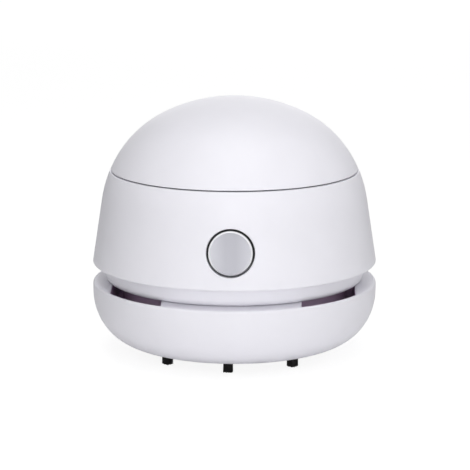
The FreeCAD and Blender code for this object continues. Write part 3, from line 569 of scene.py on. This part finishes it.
def side_points(inset, top_z, bottom_z):
    """The side from top_z down to bottom_z, with the window's levels among its points."""
    levels = window_levels()
    above = sorted_levels([WINDOW_HIGH, top_z], 1.0)[::-1][:-1]
    below = sorted_levels([bottom_z, WINDOW_LOW], 1.0)[::-1][1:]
    return [(side_radius(z, inset), z) for z in above + levels + below]


def body_profile():
    hem = Outline(side_radius(hem_z, 0), hem_z, -(90 - side_taper))
    hem.arc(hem_r, -(90 - undercut_angle + side_taper), step=6)
    hem.line((hem.r - neck_out_r) / math.cos(math.radians(undercut_angle)))
    hem.to(neck_out_r, neck_z + neck_edge_r)
    hem.heading = -90.0
    hem.arc(neck_edge_r, -90, step=9).to(neck_bore_r, neck_z)
    outer = side_points(0, seam_low_z, hem_z) + hem.points[1:] + [(neck_bore_r, cavity_z)]
    inner = side_points(body_wall, seam_low_z - socket_depth, cavity_z)[::-1]
    top = [(socket_r, seam_low_z - socket_depth), (socket_r, seam_low_z - seal_step_depth),
           (seal_step_r, seam_low_z - seal_step_depth), (seal_step_r, seam_low_z)]
    return softened(outer + inner + top, shell_edge_r)


def window_rows(profile, inset):
    """Indexes of the profile points at the window's top and bottom."""
    ends = []
    for z in (WINDOW_HIGH, WINDOW_LOW):
        r = side_radius(z, inset)
        ends.append(min(range(len(profile)), key=lambda k: math.dist(profile[k], (r, z))))
    return ends


class ButtonPlane:
    """Places counted from the button's centre: across, up the wall and out along its axis."""

    def __init__(self):
        t = math.radians(side_taper)
        self.centre = Vector((0, -side_radius(button_z, 0), button_z))
        self.out = Vector((0, -math.cos(t), math.sin(t)))
        self.up = Vector((0, math.sin(t), math.cos(t)))

    def flat(self, point):
        d = Vector(point) - self.centre
        return d.x, d.dot(self.up)

    def place(self, u, v, d):
        return self.centre + Vector((u, 0, 0)) + self.up * v + self.out * d

    def depth(self, u, v, inset):
        """How far out the wall's surface is at a place."""
        near, far = -12.0, 6.0
        for _ in range(40):
            middle = (near + far) / 2
            p = self.place(u, v, middle)
            if math.hypot(p.x, p.y) < side_radius(p.z, inset):
                near = middle
            else:
                far = middle
        return (near + far) / 2


def body_shell():
    """Shell of the body, with the button's hole and its collar."""
    profile = body_profile()
    plane = ButtonPlane()
    turns = [2 * math.pi * s / SEGMENTS for s in range(SEGMENTS)]
    verts = [(r * math.cos(a), r * math.sin(a), z) for r, z in profile for a in turns]
    front = round(SEGMENTS * FRONT / 360)
    left, right = front - WINDOW_HALF, front + WINDOW_HALF
    windows = [window_rows(profile, inset) for inset in (0, body_wall)]
    rows = len(profile)
    faces = []
    for j in range(rows):
        n = (j + 1) % rows
        in_rows = any(min(w) <= j < max(w) for w in windows)
        for s in range(SEGMENTS):
            if in_rows and left <= s < right:
                continue
            t = (s + 1) % SEGMENTS
            faces.append((j * SEGMENTS + s, j * SEGMENTS + t, n * SEGMENTS + t, n * SEGMENTS + s))
    loops = [window_loop(top, bottom, left, right) for top, bottom in windows]
    rings = [loops[0]]
    rings += patch_rings(verts, loops[0], plane, 0, button_hole_r + hole_edge_r, OUTER_PATCH)
    rings += hole_rings(verts, rings[-1], plane)
    inner = [loops[1]] + patch_rings(verts, loops[1], plane, body_wall, collar_r, INNER_PATCH)
    collar = [plane.flat(verts[k]) for k in inner[-1]]
    rings.append(add_ring(verts, [plane.place(u, v, -collar_depth) for u, v in collar]))
    faces += strips(rings + inner[::-1])
    obj = make_object("body_outer_shell", verts, faces, "main_body", "white_shell")
    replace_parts(obj, "body_shell")


def window_loop(top, bottom, left, right):
    """Vertex indexes round a window, from its top left corner across the top."""
    step = 1 if bottom > top else -1
    rows = list(range(top, bottom + step, step))
    loop = [top * SEGMENTS + s for s in range(left, right)]
    loop += [j * SEGMENTS + right for j in rows[:-1]]
    loop += [bottom * SEGMENTS + s for s in range(right, left, -1)]
    loop += [j * SEGMENTS + left for j in rows[:0:-1]]
    return loop


def patch_rings(verts, loop, plane, inset, hole_r, count):
    """Rings of points on the wall that lead from a window's edge to a round hole."""
    rings = []
    flats = [plane.flat(verts[k]) for k in loop]
    for step in range(1, count + 1):
        t = step / count
        places = []
        for u, v in flats:
            a = math.atan2(v, u)
            x = u * (1 - t) + hole_r * math.cos(a) * t
            y = v * (1 - t) + hole_r * math.sin(a) * t
            places.append(plane.place(x, y, plane.depth(x, y, inset)))
        rings.append(add_ring(verts, places))
    return rings


def hole_rings(verts, edge, plane):
    """The hole's rounded edge, and its wall down to the collar's inner face."""
    flats = [plane.flat(verts[k]) for k in edge]
    edge_r = button_hole_r + hole_edge_r
    rings = []
    for step in range(1, EDGE_STEPS + 1):
        a = math.radians(90 * step / EDGE_STEPS)
        share = (button_hole_r + hole_edge_r * (1 - math.sin(a))) / edge_r
        drop = hole_edge_r * (1 - math.cos(a))
        places = [plane.place(u * share, v * share, plane.depth(u, v, 0) - drop) for u, v in flats]
        rings.append(add_ring(verts, places))
    share = button_hole_r / edge_r
    places = [plane.place(u * share, v * share, -collar_depth) for u, v in flats]
    return rings + [add_ring(verts, places)]


def sector_outline(r_in, r_out, start, end):
    """Plan of a ring's sector, its angles in degrees."""
    count = max(2, round((end - start) / ARC_STEP))
    angles = [math.radians(start + (end - start) * k / count) for k in range(count + 1)]
    outer = [(r_out * math.cos(a), r_out * math.sin(a)) for a in angles]
    return outer + [(r_in * math.cos(a), r_in * math.sin(a)) for a in angles[::-1]]


def cover_lugs():
    """Four lugs in the socket, which the cover's slots turn on to."""
    low_z = seam_low_z + seam_gap / 2 - lug_drop
    for k in range(lock_count):
        middle = 360.0 / lock_count * k
        outline = sector_outline(plug_in_r + lug_inset, socket_r + lug_root,
                                 middle - lug_half_angle, middle + lug_half_angle)
        prism("cover_lug_%d" % (k + 1), outline, low_z, low_z + lug_h,
              "main_body", "white_shell", lug_edge_r)


def shelf():
    """Inner ledge that the fan plate is screwed to, open at the front for the button's collar."""
    z0, z1 = plate_top_z, plate_top_z + shelf_t
    wall = side_radius((z0 + z1) / 2, body_wall) + weld
    outline = sector_outline(shelf_in_r, wall, FRONT + shelf_gap, FRONT + 360 - shelf_gap)
    prism("inner_shelf", outline, z0, z1, "main_body", "white_shell", shelf_edge_r)
    low_z, top = z1 - shelf_boss_sink, z1 + shelf_boss_h
    boss = softened([(0, low_z), (shelf_boss_r, low_z), (shelf_boss_r, top), (0, top)],
                    shelf_edge_r, closed=False)
    for k, angle in enumerate(shelf_screw_angles):
        a = math.radians(angle)
        centre = (shelf_screw_ring_r * math.cos(a), shelf_screw_ring_r * math.sin(a))
        lathe("shelf_boss_%d" % (k + 1), boss, "main_body", "white_shell",
              segments=32, closed=False, centre=centre)


# ---------------------------------------------------------------- dust bowl


def bowl_form(inset):
    """The bowl's side from its flat underside up to its lip."""
    f = math.radians(foot_turn)
    m = math.radians(foot_turn + turn_turn)
    spread = foot_r * math.sin(f) + turn_r * (math.sin(m) - math.sin(f))
    spread += flank_r * (1 - math.sin(m))
    path = Outline(bowl_r - spread, base_z + inset)
    path.arc(foot_r - inset, foot_turn, 2.5)
    path.arc(turn_r - inset, turn_turn, 2.5)
    path.arc(flank_r - inset, flank_turn, 2.5)
    return path.to(path.r, lip_z, 3)


def bowl_shell():
    outer = bowl_form(0)
    outer.heading = 90.0
    outer.arc(bowl_wall / 2, 180.0, 12)
    inner = [p for p in bowl_form(bowl_wall).points[::-1] if p[1] > floor_z][1:]
    points = [(tube_hole_r, base_z), (brush_in_r, base_z), (brush_in_r, base_z + brush_t),
              (brush_out_r, base_z + brush_t), (brush_out_r, base_z)]
    points += outer.points + inner
    points += [(inner[-1][0] - wall_foot, floor_z), (tube_hole_r, floor_z)]
    bowl = lathe("bowl_shell", softened(points, bowl_edge_r), "dust_container", "white_shell")
    drill_bowl(bowl)
    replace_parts(bowl, "dust_bowl")


def bowl_lining():
    """Thin mauve sheet on the bowl's inner wall, below its white lip: painted shade where the
    exhaust slots are in shadow.
    """
    start, end = floor_z + shade_sheet_rise, lip_z - shade_sheet_drop
    wall = [p for p in bowl_form(bowl_wall).points if start < p[1] < end]
    inner = [(r - shade_sheet_t, z) for r, z in wall[::-1]]
    # painted shade: the mauve sheet darkens the white wall where the slots' shade falls
    lathe("bowl_lining", wall + inner, "dust_container", "dark_liner")


def drill_bowl(bowl):
    """Counterbored holes for the screws that hold the cup."""
    for k in range(4):
        a = math.radians(FRONT + 45 + 90 * k)
        centre = (cup_screw_ring_r * math.cos(a), cup_screw_ring_r * math.sin(a))
        shaft_top = floor_z + drill_over
        head_top = base_z + cup_screw_depth
        bottom = base_z - drill_over
        points = [(0, bottom), (cup_screw_head_r, bottom), (cup_screw_head_r, head_top),
                  (cup_screw_hole_r, head_top), (cup_screw_hole_r, shaft_top), (0, shaft_top)]
        tool = lathe("drill", points, "dust_container", "white_shell",
                     segments=40, closed=False, centre=centre)
        cut = bowl.modifiers.new("hole", "BOOLEAN")
        cut.operation = "DIFFERENCE"
        cut.solver = "EXACT"
        cut.object = tool
        put_first(bowl, cut)
        with bpy.context.temp_override(object=bowl, active_object=bowl):
            bpy.ops.object.modifier_apply(modifier=cut.name)
        bpy.data.objects.remove(tool)


def ledge_top(r):
    """Height of a ledge: flat under the neck, then falling to the lip."""
    return bridge_z - (bridge_z - bridge_edge_z) * max(0.0, r - neck_r) / (bridge_out_r - neck_r)


def ledge_section(along, near):
    """Section across a ledge at a distance along it; near is its inner face there."""
    low_z = bridge_z - bridge_depth
    far = math.sqrt(bridge_out_r ** 2 - along ** 2)
    fold = max(math.sqrt(neck_r ** 2 - along ** 2), near + least_flat * (far - near))
    top = [(d, ledge_top(math.hypot(d, along))) for d in (far, fold, near)]
    return [(near, low_z), (far, low_z)] + top


def swept(name, sections, turn):
    """A ledge through sections of (distance from the axis, along, height), turned round Z."""
    ca, sa = math.cos(math.radians(turn)), math.sin(math.radians(turn))
    verts = []
    faces = tube(verts, [[(d * ca - a * sa, d * sa + a * ca, z) for d, a, z in section]
                         for section in sections])
    obj = make_object(name, verts, faces, "dust_container", "white_shell")
    round_edges(obj, bridge_edge_r)
    return obj


def ledges():
    """Ledges at the front and the back with round inner faces, and at the sides with flat ones."""
    steps = 36
    for k in range(4):
        reach = ledge_half if k % 2 == 0 else bridge_half_width
        sections = []
        for n in range(steps + 1):
            along = reach * (2 * n / steps - 1)
            near = side_bridge_x if k % 2 == 0 else math.sqrt(bridge_in_r ** 2 - along ** 2)
            sections.append([(d, along, z) for d, z in ledge_section(along, near)])
        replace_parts(swept("ledge_%d" % (k + 1), sections, 90.0 * k), "dust_bowl")


def ledge_shade_sheets():
    """Thin mauve sheets on the flat inner faces of the side ledges: painted shade where the exhaust
    slots are in shadow.
    """
    for k, side in enumerate((1, -1)):
        near, far = side * (side_bridge_x - shade_sheet_t), side * (side_bridge_x - shade_sheet_gap)
        outline = [(near, -ledge_half), (far, -ledge_half), (far, ledge_half), (near, ledge_half)]
        low_z, top = bridge_z - bridge_depth, bridge_z - shade_sheet_drop / 2
        # painted shade: mauve sheets darken the white ledge ends where the slots' shade falls
        prism("ledge_lining_%d" % (k + 1), outline, low_z, top,
              "dust_container", "dark_liner", shade_sheet_edge_r)


# ---------------------------------------------------------------- bristles

BRISTLE_SIDES = 5


def bristle(verts, root, tip, bend):
    """One filament: a thin tapering prism from its root to its tip. Gives its faces."""
    turns = [2 * math.pi * k / BRISTLE_SIDES for k in range(BRISTLE_SIDES)]
    sections = []
    for t in (0.0, 0.4, 0.75, 1.0):
        p = root.lerp(tip, t) + bend * (t * t)
        r = bristle_r * (1 - bristle_taper * t)
        sections.append([(p.x + r * math.cos(a), p.y + r * math.sin(a), p.z) for a in turns])
    return tube(verts, sections)


def bristles():
    """Eight tufts of black filaments, packed close, with a ragged lower end."""
    rng = random.Random(11)

    def stray(first, second, most):
        return first * rng.uniform(-most, most) + second * rng.uniform(-most, most)

    verts, faces = [], []
    for tuft in range(tuft_count):
        a = math.radians(FRONT + tuft_turn + 360.0 / tuft_count * tuft)
        radial = Vector((math.cos(a), math.sin(a), 0))
        across = Vector((-math.sin(a), math.cos(a), 0))
        middle = radial * tuft_circle
        for i in range(tuft_rows):
            for j in range(tuft_columns):
                u = (i + 0.5) / tuft_rows - 0.5
                v = (j + 0.5 + 0.5 * (i % 2)) / (tuft_columns + 0.5) - 0.5
                jitter = stray(radial, across, bristle_stray)
                root = middle + radial * (u * (tuft_radial - tuft_inset))
                root += across * (v * (tuft_width - tuft_inset)) + jitter
                root.z = base_z + bristle_root
                tip = middle + (root - middle) * (tuft_flare + rng.uniform(-0.03, 0.05))
                tip.z = tip_z + rng.uniform(0.0, tip_ragged) + tip_bow * (2 * abs(v)) ** 2
                faces += bristle(verts, root, tip, stray(across, radial, bristle_bend))
    obj = make_object("bristles", verts, faces, "dust_container", "bristle")
    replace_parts(obj, "bristle_tufts")


# ---------------------------------------------------------------- button

SPRING_STEPS = 128
SPRING_SIDES = 10


def button():
    """Push button: a face hollowed from side to side, a narrow rim and a flange behind the wall."""
    face = button_proud
    rim = button_r - button_rim
    step, bevel, fall = 0.12, 0.08, 0.2  # face under the rim, the rim's corner and its outer slope
    path = Outline(0, face - step)
    path.to(rim - step, face - step, 12).to(rim, face, 2).to(rim + 0.06, face, 1)
    path.to(button_r - bevel, face - fall, 3).to(button_r, face - 2 * fall, 1)
    flange = button_back + button_flange_t
    path.to(button_r, flange).to(button_flange_r, flange)
    path.to(button_flange_r, button_back).to(0, button_back)
    obj = lathe("push_button", softened(path.points, bevel, closed=False), "button", "button_grey",
                segments=128, closed=False)
    plane = ButtonPlane()
    for v in obj.data.vertices:
        x, y, d = v.co / MM
        if d > 0:
            from_side = max(0.0, 1 - (x / rim) ** 2)
            from_rim = max(0.0, 1 - math.hypot(x, y) / rim)
            d -= button_hollow * from_side * from_rim ** 0.5
        v.co = plane.place(x, y, d) * MM
    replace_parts(obj, "button_cap")


def button_spring():
    """The return spring: a coil from the switch to the flange."""
    plane = ButtonPlane()
    start, end = -switch_depth + spring_wire_r, button_back - spring_wire_r
    sections = []
    for i in range(SPRING_STEPS + 1):
        t = i / SPRING_STEPS
        a = 2 * math.pi * spring_turns * t
        section = []
        for k in range(SPRING_SIDES):
            b = 2 * math.pi * k / SPRING_SIDES
            r = spring_coil_r + spring_wire_r * math.cos(b)
            depth = start + (end - start) * t + spring_wire_r * math.sin(b)
            section.append(plane.place(r * math.cos(a), r * math.sin(a), depth))
        sections.append(section)
    verts = []
    faces = tube(verts, sections)
    obj = make_object("return_spring", verts, faces, "main_body", "screw_steel")
    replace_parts(obj, "button_spring")
    tuple(plane.place(0, 0, -switch_depth) * MM)
    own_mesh(obj)


# ---------------------------------------------------------------- materials


class Nodes:
    """Short calls for building one material's nodes."""

    def __init__(self, name):
        self.material = bpy.data.materials.new(name)
        self.material.use_nodes = True
        self.tree = self.material.node_tree
        self.shader = next(n for n in self.tree.nodes if n.type == "BSDF_PRINCIPLED")
        self.place = self.add("ShaderNodeTexCoord").outputs["Object"]

    def add(self, kind, **values):
        node = self.tree.nodes.new(kind)
        for key, value in values.items():
            setattr(node, key, value)
        return node

    def link(self, a, b):
        self.tree.links.new(a, b)

    def colour(self, source):
        self.link(source, self.shader.inputs["Base Color"])

    def dot(self, source, axis):
        """How far a place lies along an axis."""
        node = self.add("ShaderNodeVectorMath", operation="DOT_PRODUCT")
        self.link(source, node.inputs[0])
        node.inputs[1].default_value = axis
        return node.outputs["Value"]

    def mix(self, share, low, high):
        """Two colours mixed; the second may be the same all over."""
        node = self.add("ShaderNodeMixRGB")
        self.link(share, node.inputs["Fac"])
        self.link(low, node.inputs["Color1"])
        if isinstance(high, tuple):
            node.inputs["Color2"].default_value = (*high, 1.0)
        else:
            self.link(high, node.inputs["Color2"])
        return node.outputs["Color"]

    def noise(self, size, detail=4.0, roughness=0.5, stretch=None):
        """Noise with features of a size in millimetres."""
        source = self.place
        if stretch:
            mapping = self.add("ShaderNodeMapping")
            mapping.inputs["Scale"].default_value = stretch
            self.link(source, mapping.inputs["Vector"])
            source = mapping.outputs["Vector"]
        node = self.add("ShaderNodeTexNoise")
        node.inputs["Scale"].default_value = 1 / (size * MM)
        node.inputs["Detail"].default_value = detail
        node.inputs["Roughness"].default_value = roughness
        self.link(source, node.inputs["Vector"])
        return node.outputs["Fac"]

    def ramp(self, source, stops, interpolation="LINEAR"):
        node = self.add("ShaderNodeValToRGB")
        node.color_ramp.interpolation = interpolation
        elements = node.color_ramp.elements
        while len(elements) < len(stops):
            elements.new(0.5)
        for element, (place, colour) in zip(elements, stops):
            element.position = place
            element.color = (*colour, 1.0)
        self.link(source, node.inputs["Fac"])
        return node.outputs["Color"]

    def rough(self, source, low_value, high_value):
        """Roughness that follows the middle of a noise's span."""
        node = self.add("ShaderNodeMapRange")
        node.inputs["To Min"].default_value = low_value
        node.inputs["To Max"].default_value = high_value
        node.inputs["From Min"].default_value = 0.3
        node.inputs["From Max"].default_value = 0.7
        self.link(source, node.inputs["Value"])
        self.link(node.outputs["Result"], self.shader.inputs["Roughness"])

    def span(self, source, start, end):
        """How far a length lies between two lengths in millimetres, from 0 to 1."""
        node = self.add("ShaderNodeMapRange")
        node.inputs["From Min"].default_value = start * MM
        node.inputs["From Max"].default_value = end * MM
        self.link(source, node.inputs["Value"])
        return node.outputs["Result"]

    def bump(self, source, height):
        node = self.add("ShaderNodeBump")
        node.inputs["Distance"].default_value = height * MM
        node.inputs["Strength"].default_value = 1.0
        self.link(source, node.inputs["Height"])
        self.link(node.outputs["Normal"], self.shader.inputs["Normal"])

    def set(self, **values):
        names = {"metallic": "Metallic", "roughness": "Roughness",
                 "specular": "Specular IOR Level", "sheen": "Sheen Weight"}
        for key, value in values.items():
            self.shader.inputs[names[key]].default_value = value


def shade(colour, factor):
    return tuple(min(1.0, c * factor) for c in colour)


# colour, roughness, size of the grain and its depth in mm, change of tone, specular level
PLASTICS = {
    "white_shell": ((0.84, 0.832, 0.885), 0.42, 0.35, 0.004, 0.008, 0.18),
    "dark_liner": ((0.62, 0.46, 0.63), 0.55, 0.5, 0.012, 0.06, 0.3),
    "grey_plastic": ((0.40, 0.40, 0.43), 0.5, 0.4, 0.01, 0.04, 0.5),
    "black_plastic": ((0.022, 0.022, 0.025), 0.42, 0.4, 0.01, 0.15, 0.5),
    "seal_rubber": ((0.17, 0.17, 0.18), 0.75, 0.25, 0.02, 0.08, 0.25),
    "wire_red": ((0.42, 0.015, 0.012), 0.38, 0.6, 0.015, 0.06, 0.5),
    "wire_black": ((0.015, 0.015, 0.016), 0.38, 0.6, 0.015, 0.06, 0.5),
}

# colour, roughness, stretch of the lines
METALS = {
    "steel": ((0.50, 0.50, 0.51), 0.34, (1.0, 1.0, 0.04)),
    "screw_steel": ((0.62, 0.62, 0.64), 0.25, (1.0, 1.0, 1.0)),
    "brass": ((0.66, 0.48, 0.20), 0.3, (1.0, 0.1, 1.0)),
}


def moulded(name, colour, rough, grain, depth, variation, specular):
    """Moulded plastic: a fine grain, a slow change of tone and gloss, and faint rub marks."""
    m = Nodes(name)
    dark, light = shade(colour, 1 - variation), shade(colour, 1 + variation)
    m.colour(m.ramp(m.noise(9, 3.0), [(0.3, dark), (0.7, light)]))
    m.rough(m.noise(2.2, 6.0, 0.7, (1.0, 1.0, 0.35)), rough - 0.04, rough + 0.05)
    m.bump(m.noise(grain, 2.0), depth)
    m.set(specular=specular)
    return m.material


def metal(name, colour, rough, stretch):
    """Drawn or rolled metal: fine lines along it, with slight staining."""
    m = Nodes(name)
    lines = m.noise(0.15, 3.0, 0.6, stretch)
    m.colour(m.ramp(m.noise(3.0, 4.0), [(0.3, shade(colour, 0.86)), (0.7, shade(colour, 1.06))]))
    m.rough(lines, rough - 0.08, rough + 0.1)
    m.bump(lines, 0.004)
    m.set(metallic=1.0)
    return m.material


def button_grey():
    """Satin silver grey, with the tones that the photograph shows.

    Painted shade darkens the middle of the hollow face and the top of the cap's side in the gap,
    which is painted lighter at the bottom; a painted highlight rings the rim but for its bottom.
    """
    m = Nodes("button_grey")
    plane = ButtonPlane()
    offset = m.add("ShaderNodeVectorMath", operation="SUBTRACT")
    m.link(m.place, offset.inputs[0])
    offset.inputs[1].default_value = plane.centre * MM
    place = offset.outputs["Vector"]
    axes = m.add("ShaderNodeSeparateXYZ")
    m.link(place, axes.inputs["Vector"])
    height = m.dot(place, plane.up)
    flat = m.add("ShaderNodeCombineXYZ")
    m.link(axes.outputs["X"], flat.inputs["X"])
    m.link(height, flat.inputs["Y"])
    reach = m.add("ShaderNodeVectorMath", operation="LENGTH")
    m.link(flat.outputs["Vector"], reach.inputs[0])
    aside = m.add("ShaderNodeMath", operation="ABSOLUTE")
    m.link(axes.outputs["X"], aside.inputs[0])
    rim = button_r - button_rim
    # painted shade: the hollow face darker in its middle and lighter at its sides
    face = m.ramp(m.span(aside.outputs["Value"], 0, rim),
                  [(0.25, (0.48, 0.48, 0.53)), (1.0, (0.60, 0.60, 0.65))])
    # painted highlight: a pale ring on the rim, fading towards its bottom
    painted_rim_highlight = m.add("ShaderNodeMath", operation="MULTIPLY")
    m.link(m.span(reach.outputs["Value"], rim - 0.15, rim), painted_rim_highlight.inputs[0])
    m.link(m.span(height, -rim, -rim / 3), painted_rim_highlight.inputs[1])
    front = m.mix(painted_rim_highlight.outputs["Value"], face, (0.84, 0.84, 0.87))
    # painted shade in the gap round the cap: dark at the top, lighter at the bottom where light
    # reaches in
    skirt_painted_shade = m.ramp(m.span(height, -rim, rim),
                   [(0.0, (0.36, 0.36, 0.39)), (0.45, (0.03, 0.03, 0.033))])
    m.colour(m.mix(m.span(m.dot(place, plane.out), -0.4, 0.1), skirt_painted_shade, front))
    m.rough(m.noise(0.8, 5.0), 0.38, 0.46)
    m.bump(m.noise(0.2, 2.0), 0.001)
    m.set(metallic=0.0, specular=0.3)
    return m.material


def bristle_black():
    """Black nylon: each filament a little different in tone."""
    m = Nodes("bristle")
    fine = m.noise(0.25, 2.0, 0.5, (1.0, 1.0, 0.08))
    m.colour(m.ramp(fine, [(0.3, (0.004, 0.0035, 0.004)), (0.7, (0.014, 0.012, 0.013))]))
    m.rough(fine, 0.38, 0.6)
    m.set(specular=0.3)
    return m.material


def filter_felt():
    """Felt: short tangled fibres."""
    m = Nodes("filter_felt")
    fibres = m.noise(0.25, 8.0, 0.8)
    m.colour(m.ramp(fibres, [(0.3, (0.48, 0.47, 0.44)), (0.7, (0.80, 0.79, 0.75))]))
    m.bump(fibres, 0.25)
    m.set(roughness=0.95, sheen=0.3, specular=0.1)
    return m.material


def magnet_ferrite():
    """Sintered ferrite: dark, grainy, chalky at the broken grains."""
    m = Nodes("magnet")
    grains = m.noise(0.3, 6.0, 0.75)
    m.colour(m.ramp(grains, [(0.35, (0.025, 0.025, 0.028)), (0.7, (0.08, 0.08, 0.085))]))
    m.rough(grains, 0.6, 0.85)
    m.bump(grains, 0.03)
    return m.material


def copper_wire():
    """Enamelled copper, wound: a fine ribbed winding."""
    m = Nodes("copper")
    wave = m.add("ShaderNodeTexWave", bands_direction="Z")
    wave.inputs["Scale"].default_value = 1 / (1.2 * MM)
    wave.inputs["Distortion"].default_value = 0.6
    m.link(m.place, wave.inputs["Vector"])
    m.colour(m.ramp(wave.outputs["Fac"], [(0.0, (0.22, 0.07, 0.03)), (1.0, (0.62, 0.25, 0.12))]))
    m.bump(wave.outputs["Fac"], 0.08)
    m.set(metallic=0.8, roughness=0.35)
    return m.material


def cell_film(name, plus_side):
    """Printed cell sleeve: green body, a pale band at the plus end and bare metal ends."""
    m = Nodes(name)
    axes = m.add("ShaderNodeSeparateXYZ")
    m.link(m.place, axes.inputs["Vector"])
    reach = 26 * plus_side
    bare, green = (0.55, 0.55, 0.56), (0.035, 0.075, 0.055)
    pale, orange = (0.62, 0.62, 0.60), (0.60, 0.33, 0.10)
    stops = [(0.0, bare), (0.045, green), (0.70, pale),
             (0.715, green), (0.74, orange), (0.945, bare)]
    m.colour(m.ramp(m.span(axes.outputs["X"], -reach, reach), stops, "CONSTANT"))
    m.rough(m.noise(1.5, 4.0), 0.24, 0.34)
    m.bump(m.noise(2.5, 3.0), 0.01)
    m.set(metallic=0.55)
    return m.material


def paint(obj, material):
    if not obj.material_slots:
        obj.data.materials.append(material)
    for slot in obj.material_slots:
        slot.material = material


def paint_everything():
    finishes = {"button_grey": button_grey(), "bristle": bristle_black(),
                "filter_felt": filter_felt(), "copper": copper_wire(), "magnet": magnet_ferrite()}
    for name, look in PLASTICS.items():
        finishes[name] = moulded(name, *look)
    for name, look in METALS.items():
        finishes[name] = metal(name, *look)
    slots = {s["node"]: s["material_slot"] for s in frame["record"]["subparts"]}
    for name, obj in nodes.items():
        if slots[name] == "cell_can":
            paint(obj, cell_film("cell_" + name, 1 if name == "battery_front" else -1))
        else:
            paint(obj, finishes[slots[name]])
    for obj in bpy.data.objects:
        if obj.type == "MESH" and "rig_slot" in obj and obj.name not in nodes:
            paint(obj, finishes[obj["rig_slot"]])


# ---------------------------------------------------------------- floor, lights and camera


FLOOR_HALF = 3.0
FLOOR_TONE = 0.97  # what the floor throws back on the object
SEEN_TONE = 0.22  # its tone and glow as the camera sees it
SEEN_GLOW = 0.89
WORLD_LIGHT = 0.18
LAMP_AIM = Vector((0.0, 0.0, 0.035))
# azimuth, elevation, distance, size, watts
LAMPS = {
    "front": (4, 15, 0.42, 0.25, 0.72),
    "over": (4, 70, 0.60, 0.40, 0.83),
    "top": (0, 85, 0.90, 0.60, 2.98),
    "right_fill": (110, 15, 1.10, 0.75, 1.30),
    "back_fill": (180, 12, 1.10, 0.75, 1.6),
}


def shader_node(tree, kind, **values):
    """A new node with values on its inputs."""
    node = tree.nodes.new("ShaderNode" + kind)
    for key, value in values.items():
        node.inputs[key].default_value = value
    return node


def mixed(tree, share, low, high):
    """One shader or the other, by a share from 0 to 1."""
    node = shader_node(tree, "MixShader")
    for place, source in enumerate((share, low, high)):
        tree.links.new(source, node.inputs[place])
    return node.outputs[0]


def floor():
    """Pale floor that shows white to the camera and keeps a soft shadow; clear from below."""
    far = FLOOR_HALF
    mesh = bpy.data.meshes.new("floor")
    corners = [(-far, -far, 0), (far, -far, 0), (far, far, 0), (-far, far, 0)]
    mesh.from_pydata(corners, [], [(0, 1, 2, 3)])
    obj = bpy.data.objects.new("floor", mesh)
    bpy.context.scene.collection.objects.link(obj)
    m = bpy.data.materials.new("floor")
    m.use_nodes = True
    tree = m.node_tree
    tree.nodes.clear()
    matt = shader_node(tree, "BsdfDiffuse", Color=(FLOOR_TONE, FLOOR_TONE, FLOOR_TONE, 1.0))
    seen = shader_node(tree, "BsdfDiffuse", Color=(SEEN_TONE, SEEN_TONE, SEEN_TONE, 1.0))
    glow = shader_node(tree, "Emission", Strength=SEEN_GLOW)
    both = shader_node(tree, "AddShader")
    tree.links.new(seen.outputs[0], both.inputs[0])
    tree.links.new(glow.outputs[0], both.inputs[1])
    path = shader_node(tree, "LightPath")
    above = mixed(tree, path.outputs["Is Camera Ray"], matt.outputs[0], both.outputs[0])
    clear = shader_node(tree, "BsdfTransparent")
    back = shader_node(tree, "NewGeometry")
    out = shader_node(tree, "OutputMaterial")
    whole = mixed(tree, back.outputs["Backfacing"], above, clear.outputs[0])
    tree.links.new(whole, out.inputs["Surface"])
    mesh.materials.append(m)


def world():
    """Even light all round; white where the camera, a reflection or a clear piece sees it."""
    w = bpy.data.worlds.new("world")
    bpy.context.scene.world = w
    w.use_nodes = True
    tree = w.node_tree
    tree.nodes.clear()
    light = shader_node(tree, "Background", Strength=WORLD_LIGHT)
    seen = shader_node(tree, "Background", Strength=1.0)
    path = shader_node(tree, "LightPath")
    white = path.outputs["Is Camera Ray"]
    for ray in ("Is Transmission Ray", "Is Glossy Ray"):
        either = shader_node(tree, "Math")
        either.operation = "MAXIMUM"
        tree.links.new(white, either.inputs[0])
        tree.links.new(path.outputs[ray], either.inputs[1])
        white = either.outputs[0]
    out = shader_node(tree, "OutputWorld")
    tree.links.new(mixed(tree, white, light.outputs[0], seen.outputs[0]), out.inputs["Surface"])


def softbox(name, azimuth, elevation, distance, size, watts):
    """A square lamp; azimuth 0 is in front of the object, positive towards +X."""
    data = bpy.data.lights.new(name, "AREA")
    data.shape = "SQUARE"
    data.size = size
    data.energy = watts
    obj = bpy.data.objects.new(name, data)
    bpy.context.scene.collection.objects.link(obj)
    a, e = math.radians(azimuth), math.radians(elevation)
    place = Vector((math.sin(a) * math.cos(e), -math.cos(a) * math.cos(e), math.sin(e))) * distance
    obj.location = LAMP_AIM + place
    obj.rotation_euler = (-place).to_track_quat("-Z", "Y").to_euler()


def camera():
    """The photograph's viewpoint."""
    distance, height, pitch, yaw = 666.1 * MM, 174.1 * MM, 11.75, 1.6
    focal_px, frame_px, axis_px = 2266.6, 470.0, 0.5
    data = bpy.data.cameras.new("camera")
    data.sensor_width = 36.0
    data.lens = 36.0 * focal_px / frame_px
    data.clip_start = 0.01
    data.clip_end = 50.0
    obj = bpy.data.objects.new("camera", data)
    bpy.context.scene.collection.objects.link(obj)
    a = math.radians(yaw)
    side = axis_px / focal_px * distance
    right = Vector((math.cos(a), math.sin(a), 0))
    back = Vector((math.sin(a), -math.cos(a), 0)) * distance
    obj.location = back + Vector((0, 0, height)) + right * side
    obj.rotation_euler = (math.radians(90 - pitch), 0, a)
    bpy.context.scene.camera = obj


# ---------------------------------------------------------------- the scene

cover()
body_shell()
cover_lugs()
shelf()
bowl_shell()
bowl_lining()
ledges()
ledge_shade_sheets()
bristles()
button()
button_spring()
paint_everything()
floor()
world()
for lamp, setting in LAMPS.items():
    softbox(lamp, *setting)
camera()
bpy.context.scene.view_settings.view_transform = "Standard"
